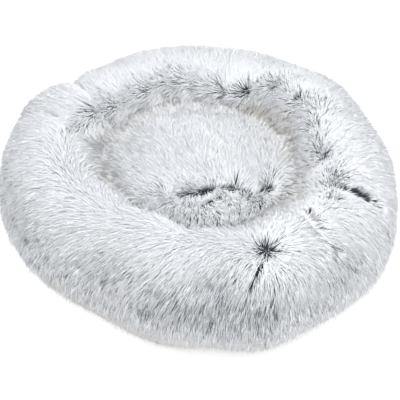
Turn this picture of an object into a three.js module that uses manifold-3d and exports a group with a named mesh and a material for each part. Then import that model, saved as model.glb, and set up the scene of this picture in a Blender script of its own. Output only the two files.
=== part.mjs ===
// A round pet cushion: a plush bolster ring round a plush pad, closed underneath by a
// fabric base with a zip across its middle. Inside are a lined bolster filling and a
// lined pad filling. Millimetres, +Z up, origin on the floor under the middle of the
// ring. Azimuth 0 is +X, 90 is the back, 270 is the front.

import * as THREE from "three";
import { mergeVertices } from "three/addons/utils/BufferGeometryUtils.js";
import Module from "manifold-3d";

const wasm = await Module();
wasm.setup();

// The ring, measured over its pile
const BED_DIAMETER = 600;
const BOLSTER_WIDTH = 152;
const BOLSTER_HEIGHT = 158;
// How far the ring's round section would reach below the floor that flattens it
const BOLSTER_SAG = 20;
const SECTION_POWER = 2.3;

// The pad in the middle, measured over its pile
const CUSHION_HEIGHT = 112;
const CUSHION_RIM_HEIGHT = 80;
const CUSHION_POWER = 4;
const PAD_FOOT_SHARE = 0.88;

// Layers, and the gap left between two layers that touch
const BOLSTER_PLUSH = 20;
const CUSHION_PLUSH = 16;
const LINER_WALL = 1;
const LAYER_GAP = 0.5;
const FILLING_SLIT_LENGTH = 110;
const FILLING_SLIT_WIDTH = 4;

// Base cloth: flat on the floor under the ring, raised in the middle to clear the zip.
// The margins are how far it stops short of the ring's outer hem and starts inside its
// inner hem.
const BASE_CLOTH = 1.2;
const BASE_OUTER_MARGIN = 20;
const BASE_INNER_MARGIN = 6;
const BASE_SLOPE = 14;
const BASE_RISE = 6;
const SEAM_GAP = 0.3;

// Zip: a chain of teeth between two tapes. The margin is what the raised base has left
// past the tapes' tails.
const ZIP_MARGIN = 20;
const TOOTH_PITCH = 4;
const TOOTH_PHASE_SHARE = 0.75;
const TOOTH_WIDTH = 2.2;
const TOOTH_LENGTH = 2.85;
const TOOTH_THICKNESS = 2.5;
const TOOTH_RAIL = 1.2;
const TAPE_WIDTH = 12;
const TAPE_THICKNESS = 0.7;
const TAPE_TAIL = 10;
const STOP_LENGTH = 3;
const STOP_THICKNESS = 3.8;

// Slider and its pull. The web is the slider's post, which runs between the two rows
const SLIDER_LENGTH = 16;
const SLIDER_WALL = 1.2;
const SLIDER_FLANGE = 1.5;
const WEB_LENGTH = 5;
const WEB_WIDTH = 0.8;
const RUNNING_GAP = 0.35;
const BAIL_LENGTH = 9;
const BAIL_WIDTH = 1.8;
const BAIL_THICKNESS = 0.9;
const BAIL_HEIGHT = 1.8;
const PULL_PIN_RADIUS = 0.55;
const PULL_ARM_WIDTH = 1;
const PULL_SLOT = 6;
const PULL_LENGTH = 22;
const PULL_WIDTH = 7;
const PULL_THICKNESS = 1;

// How finely the soft pieces are faceted
const AZIMUTH_STEPS = 48;
const OUTER_STEPS = 13;
const INNER_STEPS = 7;
const PIN_SIDES = 12;
const TAB_STEPS = 8;
// The lowest angle round the ring's section before its hem
const SIDE_ANGLE = -35;
// The angles up the pad's side, from its hem and its rim to its crown
const PAD_HEM_ANGLE = -14;
const PAD_ANGLES = [0, 14, 28, 42, 56, 68, 77, 83, 87, 90];

// Fuller and slacker stretches of the ring: how far its outer side and its top stand
// out, as shares of its width. Azimuths and spreads are in degrees.
const SWELL_SHARES = [
  { azimuth: 5, spread: 16, out: 0.014, up: 0 },
  { azimuth: 40, spread: 14, out: 0.134, up: 0.04 },
  { azimuth: 68, spread: 14, out: 0.07, up: 0.021 },
  { azimuth: 136, spread: 18, out: -0.125, up: -0.032 },
  { azimuth: 168, spread: 8, out: 0.043, up: 0.012 },
  { azimuth: 204, spread: 16, out: 0.025, up: 0.007 },
  { azimuth: 246, spread: 15, out: -0.086, up: 0 },
  { azimuth: 277, spread: 8, out: -0.041, up: 0 },
  { azimuth: 291, spread: 8, out: 0.039, up: -0.02 },
  { azimuth: 328, spread: 16, out: 0.06, up: 0 },
];

// A fold that crosses the ring, and the gathers of its inner side, as depths in shares
// of its width. Angles are round the ring's section: 0 is its outer side, 90 its crest
// and 180 the side towards the pad. The fold's azimuth is the one at angle 0, and its
// slant is how far it turns for each degree round the section.
const FOLD_SHARES = [{ azimuth: 148, slant: 0.09, spread: 4, depth: 0.066 }];
const GATHER_AZIMUTHS = [22, 51, 79, 97, 118, 143, 190, 215, 242, 266, 328, 354];
const GATHER_ANGLE = 138;
const GATHER_REACH = 34;
const GATHER_SPREAD = 7;
const GATHER_DEPTH_SHARE = 0.046;

// Pulled points and partings on the crest, with their spread and depth as shares of the
// ring's width
const TUFT_SHARES = [
  { azimuth: 293, angle: 89, spread: 0.16, depth: 0.085 },
  { azimuth: 336, angle: 84, spread: 0.12, depth: 0.053 },
  { azimuth: 310, angle: 84, spread: 0.13, depth: 0.033 },
];

// The crease across the pad, its places as shares of the pad's radius
const CREASE_SHARES = [
  [-0.48, -0.66],
  [-0.16, -0.53],
  [0.03, -0.41],
  [0.26, -0.39],
  [0.49, -0.45],
  [0.73, -0.3],
];
const CREASE_SPREAD = 17;
const CREASE_DEPTH = 9;

const RING_RADIUS = (BED_DIAMETER - BOLSTER_WIDTH) / 2;
const COVER_FLOOR = BASE_CLOTH + SEAM_GAP;
const NO_SWELL = { out: 0, up: 0 };
const HEM_REACH = hemReach();
const BASE_RADIUS = RING_RADIUS + HEM_REACH - BASE_OUTER_MARGIN;
const BASE_FLAT_FROM = RING_RADIUS - HEM_REACH - BASE_INNER_MARGIN;
const BASE_RAISED_TO = BASE_FLAT_FROM - BASE_SLOPE;
const TOOTH_STEPS = Math.floor((2 * (BASE_RAISED_TO - TAPE_TAIL - ZIP_MARGIN)) / TOOTH_PITCH);
const ZIP_LENGTH = TOOTH_STEPS * TOOTH_PITCH;
const CHAIN_HEIGHT = BASE_RISE + BASE_CLOTH + SEAM_GAP + TAPE_THICKNESS / 2;
const CHAIN_SLOT = WEB_WIDTH + 2 * RUNNING_GAP;
const CHAIN_REACH = CHAIN_SLOT / 2 + TOOTH_LENGTH;
const SLIDER_WIDTH = 2 * (CHAIN_REACH + RUNNING_GAP + SLIDER_FLANGE);
const SLIDER_HEIGHT = TOOTH_THICKNESS + 2 * (RUNNING_GAP + SLIDER_WALL);
const ZIP_WINDOW = SLIDER_WIDTH + 2 * RUNNING_GAP;
const SLIDER_REST = ZIP_LENGTH / 2 - SLIDER_LENGTH / 2;
const PAD_FLOOR = CHAIN_HEIGHT + SLIDER_HEIGHT / 2 + RUNNING_GAP;
const OVERRUN = BED_DIAMETER;

function radians(degrees) {
  return THREE.MathUtils.degToRad(degrees);
}

// |x| to a power, with the sign of x
function signedPower(x, power) {
  return Math.sign(x) * Math.pow(Math.abs(x), power);
}

// 1 at zero, falling to nothing over about twice the spread
function bump(distance, spread) {
  return Math.exp(-((distance / spread) ** 2));
}

// The turn from one azimuth to another, in degrees, from -180 to 180
function turnBetween(a, b) {
  return ((((a - b + 180) % 360) + 360) % 360) - 180;
}

// Puts cylindrical radius, azimuth in degrees and height into x, y, z
function cylindrical(radius, azimuth, height) {
  const a = radians(azimuth);
  return [radius * Math.cos(a), radius * Math.sin(a), height];
}

// How far the ring's surface is drawn in towards the middle of its section
function drawnIn(azimuth, angle) {
  let share = 0;
  for (const fold of FOLD_SHARES) {
    const round = 0.5 + 0.5 * Math.sin(radians(angle));
    const across = turnBetween(azimuth, fold.azimuth + fold.slant * angle);
    share += fold.depth * round * bump(across, fold.spread);
  }
  for (const gather of GATHER_AZIMUTHS) {
    const across = bump(turnBetween(azimuth, gather), GATHER_SPREAD);
    share += GATHER_DEPTH_SHARE * across * bump(angle - GATHER_ANGLE, GATHER_REACH);
  }
  for (const tuft of TUFT_SHARES) {
    const across = (radians(turnBetween(azimuth, tuft.azimuth)) * RING_RADIUS) / BOLSTER_WIDTH;
    const along = radians(angle - tuft.angle) / 2;
    share += tuft.depth * bump(Math.hypot(across, along), tuft.spread);
  }
  return share * BOLSTER_WIDTH;
}

// How far the ring's outer side and its top stand out at one azimuth
function swellAt(azimuth) {
  let out = 0;
  let up = 0;
  for (const swell of SWELL_SHARES) {
    const near = bump(turnBetween(azimuth, swell.azimuth), swell.spread) * BOLSTER_WIDTH;
    out += swell.out * near;
    up += swell.up * near;
  }
  return { out, up };
}

// The ring's section, wall deep inside its pile and standing on floor. The hem angle is
// where its outer side meets the floor.
function ringSection(swell, wall, floor) {
  const top = BOLSTER_HEIGHT + swell.up - wall;
  const halfWidth = BOLSTER_WIDTH / 2 - wall;
  const halfHeight = (top - floor + BOLSTER_SAG) / 2;
  const middle = top - halfHeight;
  const floorShare = Math.pow((middle - floor) / halfHeight, SECTION_POWER / 2);
  const hemAngle = -THREE.MathUtils.radToDeg(Math.asin(floorShare));
  return { out: swell.out, halfWidth, halfHeight, middle, hemAngle };
}

// How far the even ring's hems stand from the middle of its section
function hemReach() {
  const { halfWidth, hemAngle } = ringSection(NO_SWELL, 0, COVER_FLOOR);
  return halfWidth * signedPower(Math.cos(radians(hemAngle)), 2 / SECTION_POWER);
}

// A point of the ring as [radius, height]. Angle is in degrees round the section.
function ringPoint(azimuth, angle, wall, floor) {
  const { out, halfWidth, halfHeight, middle } = ringSection(swellAt(azimuth), wall, floor);
  const c = Math.cos(radians(angle));
  const s = Math.sin(radians(angle));
  const depth = drawnIn(azimuth, angle);
  const reach = halfWidth * signedPower(c, 2 / SECTION_POWER) + (out * (1 + c)) / 2;
  const height = middle + halfHeight * signedPower(s, 2 / SECTION_POWER);
  return [RING_RADIUS + reach - depth * c, Math.max(height - depth * s, floor)];
}

// The section's points from its outer hem over the crest to its inner hem. The angles
// between the hems are the same for every layer, so that layers stay apart.
function ringLine(azimuth, wall, floor, steps) {
  const { hemAngle } = ringSection(swellAt(azimuth), wall, floor);
  const line = [ringPoint(azimuth, hemAngle, wall, floor)];
  for (let i = 0; i <= steps; i += 1) {
    const angle = SIDE_ANGLE + ((180 - 2 * SIDE_ANGLE) * i) / steps;
    line.push(ringPoint(azimuth, angle, wall, floor));
  }
  line.push(ringPoint(azimuth, 180 - hemAngle, wall, floor));
  return line;
}

// A closed surface through one line of [radius, height] points for each azimuth step.
// A looped line closes on itself, and any other starts and ends on the axis. Quads are
// split the same way on every layer, so the steps of a line that run backwards, counted
// from backFrom up to backTo, are split along their other diagonal.
function sweptRound(lineAt, looped, backFrom = 0, backTo = 0) {
  const positions = [];
  const lines = [];
  for (let i = 0; i < AZIMUTH_STEPS; i += 1) {
    const azimuth = (360 * i) / AZIMUTH_STEPS;
    lines.push(lineAt(azimuth).map(([r, z]) => cylindrical(r, azimuth, z)));
  }
  const triangle = (a, b, c) => positions.push(...a, ...b, ...c);
  lines.forEach((line, i) => {
    const next = lines[(i + 1) % AZIMUTH_STEPS];
    const last = line.length - 1;
    for (let k = 0; k < (looped ? line.length : last); k += 1) {
      const up = (k + 1) % line.length;
      const backwards = k >= backFrom && k < backTo;
      if (looped || k > 0) triangle(line[k], next[k], backwards ? line[up] : next[up]);
      if (looped || k < last - 1) triangle(backwards ? next[k] : line[k], next[up], line[up]);
    }
  });
  const geometry = new THREE.BufferGeometry();
  geometry.setAttribute("position", new THREE.Float32BufferAttribute(positions, 3));
  geometry.computeVertexNormals();
  return geometry;
}

// A closed geometry as a solid that can be joined and cut
function solid(geometry) {
  const bare = geometry.index ? geometry.toNonIndexed() : geometry.clone();
  bare.deleteAttribute("normal");
  bare.deleteAttribute("uv");
  const merged = mergeVertices(bare);
  return new wasm.Manifold(
    new wasm.Mesh({
      numProp: 3,
      vertProperties: merged.attributes.position.array,
      triVerts: new Uint32Array(merged.index.array),
    }),
  );
}

// The geometry of a solid
function geometryOf(made) {
  const mesh = made.getMesh();
  const geometry = new THREE.BufferGeometry();
  geometry.setAttribute("position", new THREE.BufferAttribute(mesh.vertProperties, 3));
  geometry.setIndex(new THREE.BufferAttribute(mesh.triVerts, 1));
  const flat = geometry.toNonIndexed();
  flat.computeVertexNormals();
  return flat;
}

// A block from its lowest corner to its highest
function block(low, high) {
  const size = high.map((h, i) => h - low[i]);
  const geometry = new THREE.BoxGeometry(...size);
  return geometry.translate(...high.map((h, i) => (h + low[i]) / 2));
}

const FINISHES = {
  pile: { color: 0xe9ebee, roughness: 0.95, metalness: 0 },
  liner: { color: 0xe4e2dc, roughness: 0.9, metalness: 0 },
  filling: { color: 0xf4f3ef, roughness: 1, metalness: 0 },
  base: { color: 0x8d9197, roughness: 0.85, metalness: 0 },
  tape: { color: 0x7b8087, roughness: 0.8, metalness: 0 },
  teeth: { color: 0x6f747b, roughness: 0.45, metalness: 0 },
  metal: { color: 0xb9bcc0, roughness: 0.35, metalness: 1 },
};

// A named mesh in one of the finishes above
function piece(name, geometry, finish) {
  const mesh = new THREE.Mesh(geometry, new THREE.MeshStandardMaterial(FINISHES[finish]));
  mesh.name = name;
  return mesh;
}

// The bolster: its plush cover is open underneath, where the base cloth closes it
function bolsterCover() {
  const lineAt = (azimuth) => {
    const outside = ringLine(azimuth, 0, COVER_FLOOR, OUTER_STEPS);
    const inside = ringLine(azimuth, BOLSTER_PLUSH, COVER_FLOOR, INNER_STEPS);
    return [...outside, ...inside.reverse()];
  };
  return sweptRound(lineAt, true, OUTER_STEPS + 3, OUTER_STEPS + INNER_STEPS + 5);
}

const LINER_DEPTH = BOLSTER_PLUSH + LAYER_GAP;
const FILLING_DEPTH = LINER_DEPTH + LINER_WALL + LAYER_GAP;

function ringLayer(wall, floor) {
  return sweptRound((azimuth) => ringLine(azimuth, wall, floor, INNER_STEPS), true);
}

// The liner has a filling slit underneath, at the back
function bolsterLiner() {
  const outside = solid(ringLayer(LINER_DEPTH, COVER_FLOOR));
  const inside = solid(ringLayer(LINER_DEPTH + LINER_WALL, COVER_FLOOR + LINER_WALL));
  const slit = block(
    [-FILLING_SLIT_LENGTH / 2, RING_RADIUS - FILLING_SLIT_WIDTH / 2, COVER_FLOOR - LINER_WALL],
    [FILLING_SLIT_LENGTH / 2, RING_RADIUS + FILLING_SLIT_WIDTH / 2, COVER_FLOOR + 2 * LINER_WALL],
  );
  return geometryOf(outside.subtract(inside).subtract(solid(slit)));
}

function bolsterFilling() {
  return ringLayer(FILLING_DEPTH, COVER_FLOOR + LINER_WALL + LAYER_GAP);
}

// How far the pad reaches out at one azimuth: to the ring's inner side
function padRadius(azimuth) {
  const line = ringLine(azimuth, 0, COVER_FLOOR, OUTER_STEPS);
  return Math.min(...line.map(([radius]) => radius)) - LAYER_GAP;
}

// The distance from a point of the pad to its crease, in millimetres
function creaseDistance(x, y) {
  const size = RING_RADIUS - BOLSTER_WIDTH / 2;
  const places = CREASE_SHARES.map(([u, v]) => new THREE.Vector2(u * size, v * size));
  const at = new THREE.Vector2(x, y);
  let nearest = Infinity;
  for (let i = 0; i + 1 < places.length; i += 1) {
    const along = places[i + 1].clone().sub(places[i]);
    const share = THREE.MathUtils.clamp(at.clone().sub(places[i]).dot(along) / along.lengthSq(), 0, 1);
    nearest = Math.min(nearest, at.distanceTo(places[i].clone().addScaledVector(along, share)));
  }
  return nearest;
}

// The pad's domed top, wall deep inside its pile, from an angle near its rim to the crown
function padTopLine(azimuth, wall, angles) {
  return angles.map((angle) => {
    const c = Math.cos(radians(angle));
    const s = Math.sin(radians(angle));
    const reach = padRadius(azimuth) - wall;
    const radius = angle === 90 ? 0 : reach * signedPower(c, 2 / CUSHION_POWER);
    const rise = CUSHION_HEIGHT - wall - CUSHION_RIM_HEIGHT;
    const height = CUSHION_RIM_HEIGHT + rise * signedPower(s, 2 / CUSHION_POWER);
    const [x, y] = cylindrical(radius, azimuth, height);
    return [radius, height - CREASE_DEPTH * bump(creaseDistance(x, y), CREASE_SPREAD)];
  });
}

// The pad's plush cover: a domed cap whose hem is turned down against the ring
function cushionCover() {
  const angles = [PAD_HEM_ANGLE, ...PAD_ANGLES];
  const lineAt = (azimuth) => {
    const inside = padTopLine(azimuth, CUSHION_PLUSH, angles).reverse();
    return [...inside, ...padTopLine(azimuth, 0, angles)];
  };
  return sweptRound(lineAt, false, 0, PAD_ANGLES.length);
}

// The pad's lined filling: a flat foot, sides drawn in above and below, and a crown
function padLayer(wall, floor) {
  return sweptRound((azimuth) => {
    const foot = (padRadius(azimuth) - wall) * PAD_FOOT_SHARE;
    const side = padTopLine(azimuth, wall, [PAD_HEM_ANGLE, ...PAD_ANGLES]);
    return [[0, floor], [foot, floor], ...side];
  }, false);
}

const PAD_DEPTH = CUSHION_PLUSH + LAYER_GAP;

function cushionLiner() {
  const outside = solid(padLayer(PAD_DEPTH, PAD_FLOOR));
  const inside = solid(padLayer(PAD_DEPTH + LINER_WALL, PAD_FLOOR + LINER_WALL));
  const slit = block(
    [-FILLING_SLIT_LENGTH / 2, BASE_RAISED_TO / 2, PAD_FLOOR - LINER_WALL],
    [FILLING_SLIT_LENGTH / 2, BASE_RAISED_TO / 2 + FILLING_SLIT_WIDTH, PAD_FLOOR + 2 * LINER_WALL],
  );
  return geometryOf(outside.subtract(inside).subtract(solid(slit)));
}

function cushionFilling() {
  const gap = LINER_WALL + LAYER_GAP;
  return padLayer(PAD_DEPTH + gap, PAD_FLOOR + gap);
}

// One half of the base cloth, on the side of +Y. It stops at the zip's window and, past
// the zip's ends, at the seam that joins the halves.
function baseHalf() {
  const profile = [
    [0, BASE_RISE],
    [BASE_RAISED_TO, BASE_RISE],
    [BASE_FLAT_FROM, 0],
    [BASE_RADIUS, 0],
    [BASE_RADIUS, BASE_CLOTH],
    [BASE_FLAT_FROM, BASE_CLOTH],
    [BASE_RAISED_TO, BASE_RISE + BASE_CLOTH],
    [0, BASE_RISE + BASE_CLOTH],
  ];
  const points = profile.map(([radius, height]) => new THREE.Vector2(radius, height));
  const disc = solid(new THREE.LatheGeometry(points, AZIMUTH_STEPS).rotateX(Math.PI / 2));
  const half = block([-OVERRUN, SEAM_GAP / 2, -OVERRUN], [OVERRUN, OVERRUN, OVERRUN]);
  const windowEnd = ZIP_LENGTH / 2 + TAPE_TAIL;
  const window = block([-windowEnd, -ZIP_WINDOW / 2, -OVERRUN], [windowEnd, ZIP_WINDOW / 2, OVERRUN]);
  return geometryOf(disc.intersect(solid(half)).subtract(solid(window)));
}

// One tape, on the side of +Y, lying on the base cloth beside the teeth
function zipTape() {
  const length = ZIP_LENGTH / 2 + TAPE_TAIL;
  const inner = CHAIN_REACH + SEAM_GAP;
  return block([-length, inner, -TAPE_THICKNESS / 2], [length, inner + TAPE_WIDTH, TAPE_THICKNESS / 2]);
}

// One row of teeth on their rail, on the side of +Y. The rows are turned half a turn
// about Z to face each other, and their teeth then alternate.
function zipTeeth() {
  const half = ZIP_LENGTH / 2;
  const tip = CHAIN_SLOT / 2;
  const root = CHAIN_REACH - TOOTH_RAIL;
  const extrusion = { depth: TOOTH_THICKNESS, bevelEnabled: false };
  const outline = new THREE.Shape();
  outline.moveTo(half, root);
  outline.lineTo(half, CHAIN_REACH);
  outline.lineTo(-half, CHAIN_REACH);
  outline.lineTo(-half, root);
  for (let k = 0; k < TOOTH_STEPS - 1; k += 1) {
    const middle = -half + (k + TOOTH_PHASE_SHARE) * TOOTH_PITCH;
    outline.lineTo(middle - TOOTH_WIDTH / 2, root);
    outline.lineTo(middle - TOOTH_WIDTH / 2, tip);
    outline.lineTo(middle + TOOTH_WIDTH / 2, tip);
    outline.lineTo(middle + TOOTH_WIDTH / 2, root);
  }
  return new THREE.ExtrudeGeometry(outline, extrusion).translate(0, 0, -TOOTH_THICKNESS / 2);
}

// The stop at the closed end of one row, on the side of +Y
function topStop() {
  const from = ZIP_LENGTH / 2 + SEAM_GAP;
  return block(
    [from, CHAIN_SLOT / 2, -STOP_THICKNESS / 2],
    [from + STOP_LENGTH, CHAIN_REACH, STOP_THICKNESS / 2],
  );
}

// The stop at the open end, across both rows
function bottomStop() {
  const from = -ZIP_LENGTH / 2 - SEAM_GAP;
  return block(
    [from - STOP_LENGTH, -CHAIN_REACH, -STOP_THICKNESS / 2],
    [from, CHAIN_REACH, STOP_THICKNESS / 2],
  );
}

const BAIL_UNDER = -SLIDER_HEIGHT / 2 - BAIL_HEIGHT;
const PULL_AXIS = -SLIDER_HEIGHT / 2 - BAIL_HEIGHT / 2;

// The slider, about the middle of the chain: two plates round the teeth, joined by the
// web, with slots for the tapes and a bail underneath for the pull
function zipSlider() {
  const long = SLIDER_LENGTH / 2;
  const wide = SLIDER_WIDTH / 2;
  const high = SLIDER_HEIGHT / 2;
  const channel = TOOTH_THICKNESS / 2 + RUNNING_GAP;
  const slot = TAPE_THICKNESS / 2 + RUNNING_GAP;
  const body = solid(block([-long, -wide, -high], [long, wide, high]));
  const teeth = block(
    [-OVERRUN, -CHAIN_REACH - RUNNING_GAP, -channel],
    [OVERRUN, CHAIN_REACH + RUNNING_GAP, channel],
  );
  const tapes = block([-OVERRUN, -OVERRUN, -slot], [OVERRUN, OVERRUN, slot]);
  const web = block([long - WEB_LENGTH, -WEB_WIDTH / 2, -high], [long, WEB_WIDTH / 2, high]);
  const bail = block(
    [-BAIL_LENGTH / 2, -BAIL_WIDTH / 2, BAIL_UNDER - BAIL_THICKNESS],
    [BAIL_LENGTH / 2, BAIL_WIDTH / 2, -high],
  );
  const eye = block(
    [BAIL_THICKNESS - BAIL_LENGTH / 2, -BAIL_WIDTH, BAIL_UNDER],
    [BAIL_LENGTH / 2 - BAIL_THICKNESS, BAIL_WIDTH, -high],
  );
  return geometryOf(
    body
      .subtract(solid(teeth))
      .subtract(solid(tapes))
      .add(solid(web))
      .add(solid(bail).subtract(solid(eye))),
  );
}

// The pull, about its pin and lying back along -X: a pin through the bail, two arms
// beside it and a round-ended tab
function zipPull() {
  const armIn = BAIL_WIDTH / 2 + RUNNING_GAP;
  const armOut = armIn + PULL_ARM_WIDTH;
  const half = PULL_THICKNESS / 2;
  const pin = new THREE.CylinderGeometry(PULL_PIN_RADIUS, PULL_PIN_RADIUS, 2 * armOut, PIN_SIDES);
  const outline = new THREE.Shape();
  const tabEnd = PULL_WIDTH / 2 - PULL_LENGTH;
  outline.moveTo(0, -armOut);
  outline.lineTo(0, armOut);
  outline.lineTo(-PULL_SLOT, PULL_WIDTH / 2);
  outline.lineTo(tabEnd, PULL_WIDTH / 2);
  outline.absarc(tabEnd, 0, PULL_WIDTH / 2, Math.PI / 2, (3 * Math.PI) / 2, false);
  outline.lineTo(-PULL_SLOT, -PULL_WIDTH / 2);
  const extrusion = { depth: PULL_THICKNESS, bevelEnabled: false, curveSegments: TAB_STEPS };
  const tab = new THREE.ExtrudeGeometry(outline, extrusion);
  const fork = block(
    [-PULL_SLOT, -armIn, -PULL_THICKNESS],
    [PULL_THICKNESS, armIn, PULL_THICKNESS],
  );
  return geometryOf(solid(tab.translate(0, 0, -half)).subtract(solid(fork)).add(solid(pin)));
}

const cushion = new THREE.Group();

cushion.add(
  piece("bolster_cover", bolsterCover(), "pile"),
  piece("bolster_liner", bolsterLiner(), "liner"),
  piece("bolster_filling", bolsterFilling(), "filling"),
  piece("cushion_cover", cushionCover(), "pile"),
  piece("cushion_liner", cushionLiner(), "liner"),
  piece("cushion_filling", cushionFilling(), "filling"),
);

// What comes in two, one each side of the zip: the front one is turned half a turn
for (const [side, turn] of [
  ["back", 0],
  ["front", Math.PI],
]) {
  const base = piece(`base_cloth_${side}`, baseHalf(), "base");
  base.rotation.z = turn;
  const zipSide = new THREE.Group();
  zipSide.rotation.z = turn;
  zipSide.position.z = CHAIN_HEIGHT;
  zipSide.add(piece(`zip_tape_${side}`, zipTape(), "tape"));
  zipSide.add(piece(`zip_teeth_${side}`, zipTeeth(), "teeth"));
  cushion.add(base, zipSide);
}

const zip = new THREE.Group();
zip.position.z = CHAIN_HEIGHT;
const frontTopStop = piece("zip_top_stop_front", topStop(), "metal");
frontTopStop.scale.y = -1;
const slider = new THREE.Group();
slider.position.x = SLIDER_REST;
const pull = piece("zip_pull", zipPull(), "metal");
pull.position.z = PULL_AXIS;
slider.add(piece("zip_slider", zipSlider(), "metal"), pull);
zip.add(piece("zip_top_stop_back", topStop(), "metal"), frontTopStop);
zip.add(piece("zip_bottom_stop", bottomStop(), "metal"), slider);
cushion.add(zip);

export default cushion;
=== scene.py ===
"""The looks of a round pet cushion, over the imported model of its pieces.

A plush bolster ring lies round a plush pad. Each is a padded skin, swollen by a cloth simulation
between its sewn points, with a long frosted pile grown on it by Geometry Nodes. Underneath are the
base cloth with its grip dots and seams, and the zip. Metres, +Z up, -Y to the front.
"""

import logging
import math
from dataclasses import dataclass, field
from enum import Enum

import bpy
import numpy as np
from bpy.types import Material, Mesh, Node, NodeSocket, NodeTree, Object
from mathutils import Matrix, Vector


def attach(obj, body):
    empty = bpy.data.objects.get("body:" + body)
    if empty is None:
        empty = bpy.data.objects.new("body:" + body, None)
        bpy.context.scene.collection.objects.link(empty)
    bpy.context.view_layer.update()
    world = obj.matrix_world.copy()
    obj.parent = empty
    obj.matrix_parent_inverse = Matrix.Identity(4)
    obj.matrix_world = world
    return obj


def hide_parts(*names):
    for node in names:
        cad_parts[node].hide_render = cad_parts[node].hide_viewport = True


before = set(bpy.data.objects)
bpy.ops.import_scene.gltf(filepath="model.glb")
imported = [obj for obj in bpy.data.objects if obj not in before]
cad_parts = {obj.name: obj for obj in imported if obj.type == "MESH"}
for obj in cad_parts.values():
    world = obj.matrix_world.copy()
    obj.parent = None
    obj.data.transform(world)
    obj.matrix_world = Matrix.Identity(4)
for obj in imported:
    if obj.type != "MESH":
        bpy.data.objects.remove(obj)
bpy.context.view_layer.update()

LOG = logging.getLogger("round_cushion")
BAKE_UV = "OFBake"
VECTOR = "FLOAT_VECTOR"
BODY = "bed"
CLOTH_STEPS = 16
CLOTH_SETTINGS = {
    "quality": 4,
    "mass": 0.25,
    "tension_stiffness": 18,
    "compression_stiffness": 12,
    "shear_stiffness": 6,
    "bending_stiffness": 1.5,
    "use_pressure": True,
}

# Where a hair bends, as a share of its length.
BEND_SHARE = 0.42

Array = np.ndarray

# Azimuths with angles round a section, or places in plan, one after another.
Route = tuple[tuple[float, float], ...]

# Stretches of the ring, each an azimuth, a spread in degrees and a share.
Stretches = tuple[tuple[float, float, float], ...]


class Cloth(Enum):
    """The weaves that the flat cloths are made in, by their thread pitch in metres."""

    BASE = 0.0011
    TAPE = 0.0008
    LINER = 0.0016


def hexed(code: str) -> tuple[float, float, float, float]:
    """Turn a six-digit screen colour into the linear colour that a shader socket takes.

    Args:
        code: The colour as six hexadecimal digits.

    Returns:
        Red, green and blue, linear, and an alpha of 1.
    """
    shares = [int(code[i : i + 2], 16) / 255 for i in (0, 2, 4)]
    linear = [s / 12.92 if s <= 0.04045 else ((s + 0.055) / 1.055) ** 2.4 for s in shares]
    return (linear[0], linear[1], linear[2], 1.0)


def bump(distance: Array, spread: float) -> Array:
    """Return 1 at no distance, falling to nothing over about twice the spread."""
    return np.exp(-((distance / spread) ** 2))


def turn_between(azimuth: Array, other: float) -> Array:
    """Return the turn from one azimuth to another, in degrees, from -180 to 180."""
    return (azimuth - other + 180) % 360 - 180


def azimuths(points: Array) -> Array:
    """Return the azimuth of each point round the bed, in degrees, from 0 to 360."""
    return np.degrees(np.arctan2(points[:, 1], points[:, 0])) % 360


def ramp(values: Array, start: float, end: float) -> Array:
    """Return 0 at a start and before it, rising evenly to 1 at an end and beyond it."""
    return np.clip((values - start) / (end - start), 0, 1)


def signed_power(x: Array, power: float) -> Array:
    """Return the size of x to a power, with the sign of x."""
    return np.sign(x) * np.abs(x) ** power


def unit(vectors: Array) -> Array:
    """Return vectors one long, in the same directions."""
    return vectors / np.maximum(np.linalg.norm(vectors, axis=-1, keepdims=True), 1e-9)


def lengths(vectors: Array) -> Array:
    """Return the length of each row."""
    return np.linalg.norm(vectors, axis=1)


def from_path(points: Array, path: Array) -> Array:
    """Find how each point lies from the nearest place on a path.

    Args:
        points: The points, as rows.
        path: The path's corners, as rows of as many coordinates.

    Returns:
        The vector from the path to each point.
    """
    best = np.full(points.shape, np.inf)
    for start, end in zip(path[:-1], path[1:]):
        along = end - start
        share = np.clip((points - start) @ along / (along @ along), 0, 1)
        offset = points - (start + share[:, None] * along)
        nearer = lengths(offset) < lengths(best)
        best[nearer] = offset[nearer]
    return best


class SoftNoise:
    """A smooth field with no grid in it: a sum of waves in fixed random directions."""

    def __init__(self, wavelength: float, seed: int, waves: int = 14) -> None:
        """Choose the waves.

        Args:
            wavelength: The middle wavelength, in metres.
            seed: The seed of the directions and phases.
            waves: How many waves are summed.
        """
        rng = np.random.default_rng(seed)
        directions = unit(rng.normal(size=(waves, 3)))
        self.waves = directions * (2 * math.pi / (wavelength * rng.uniform(0.65, 1.6, (waves, 1))))
        self.phases = rng.uniform(0, 2 * math.pi, waves)

    def at(self, points: Array) -> Array:
        """Return the field at each point, mostly from -1 to 1."""
        return np.sin(points @ self.waves.T + self.phases).sum(axis=1) / math.sqrt(len(self.phases))


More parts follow.
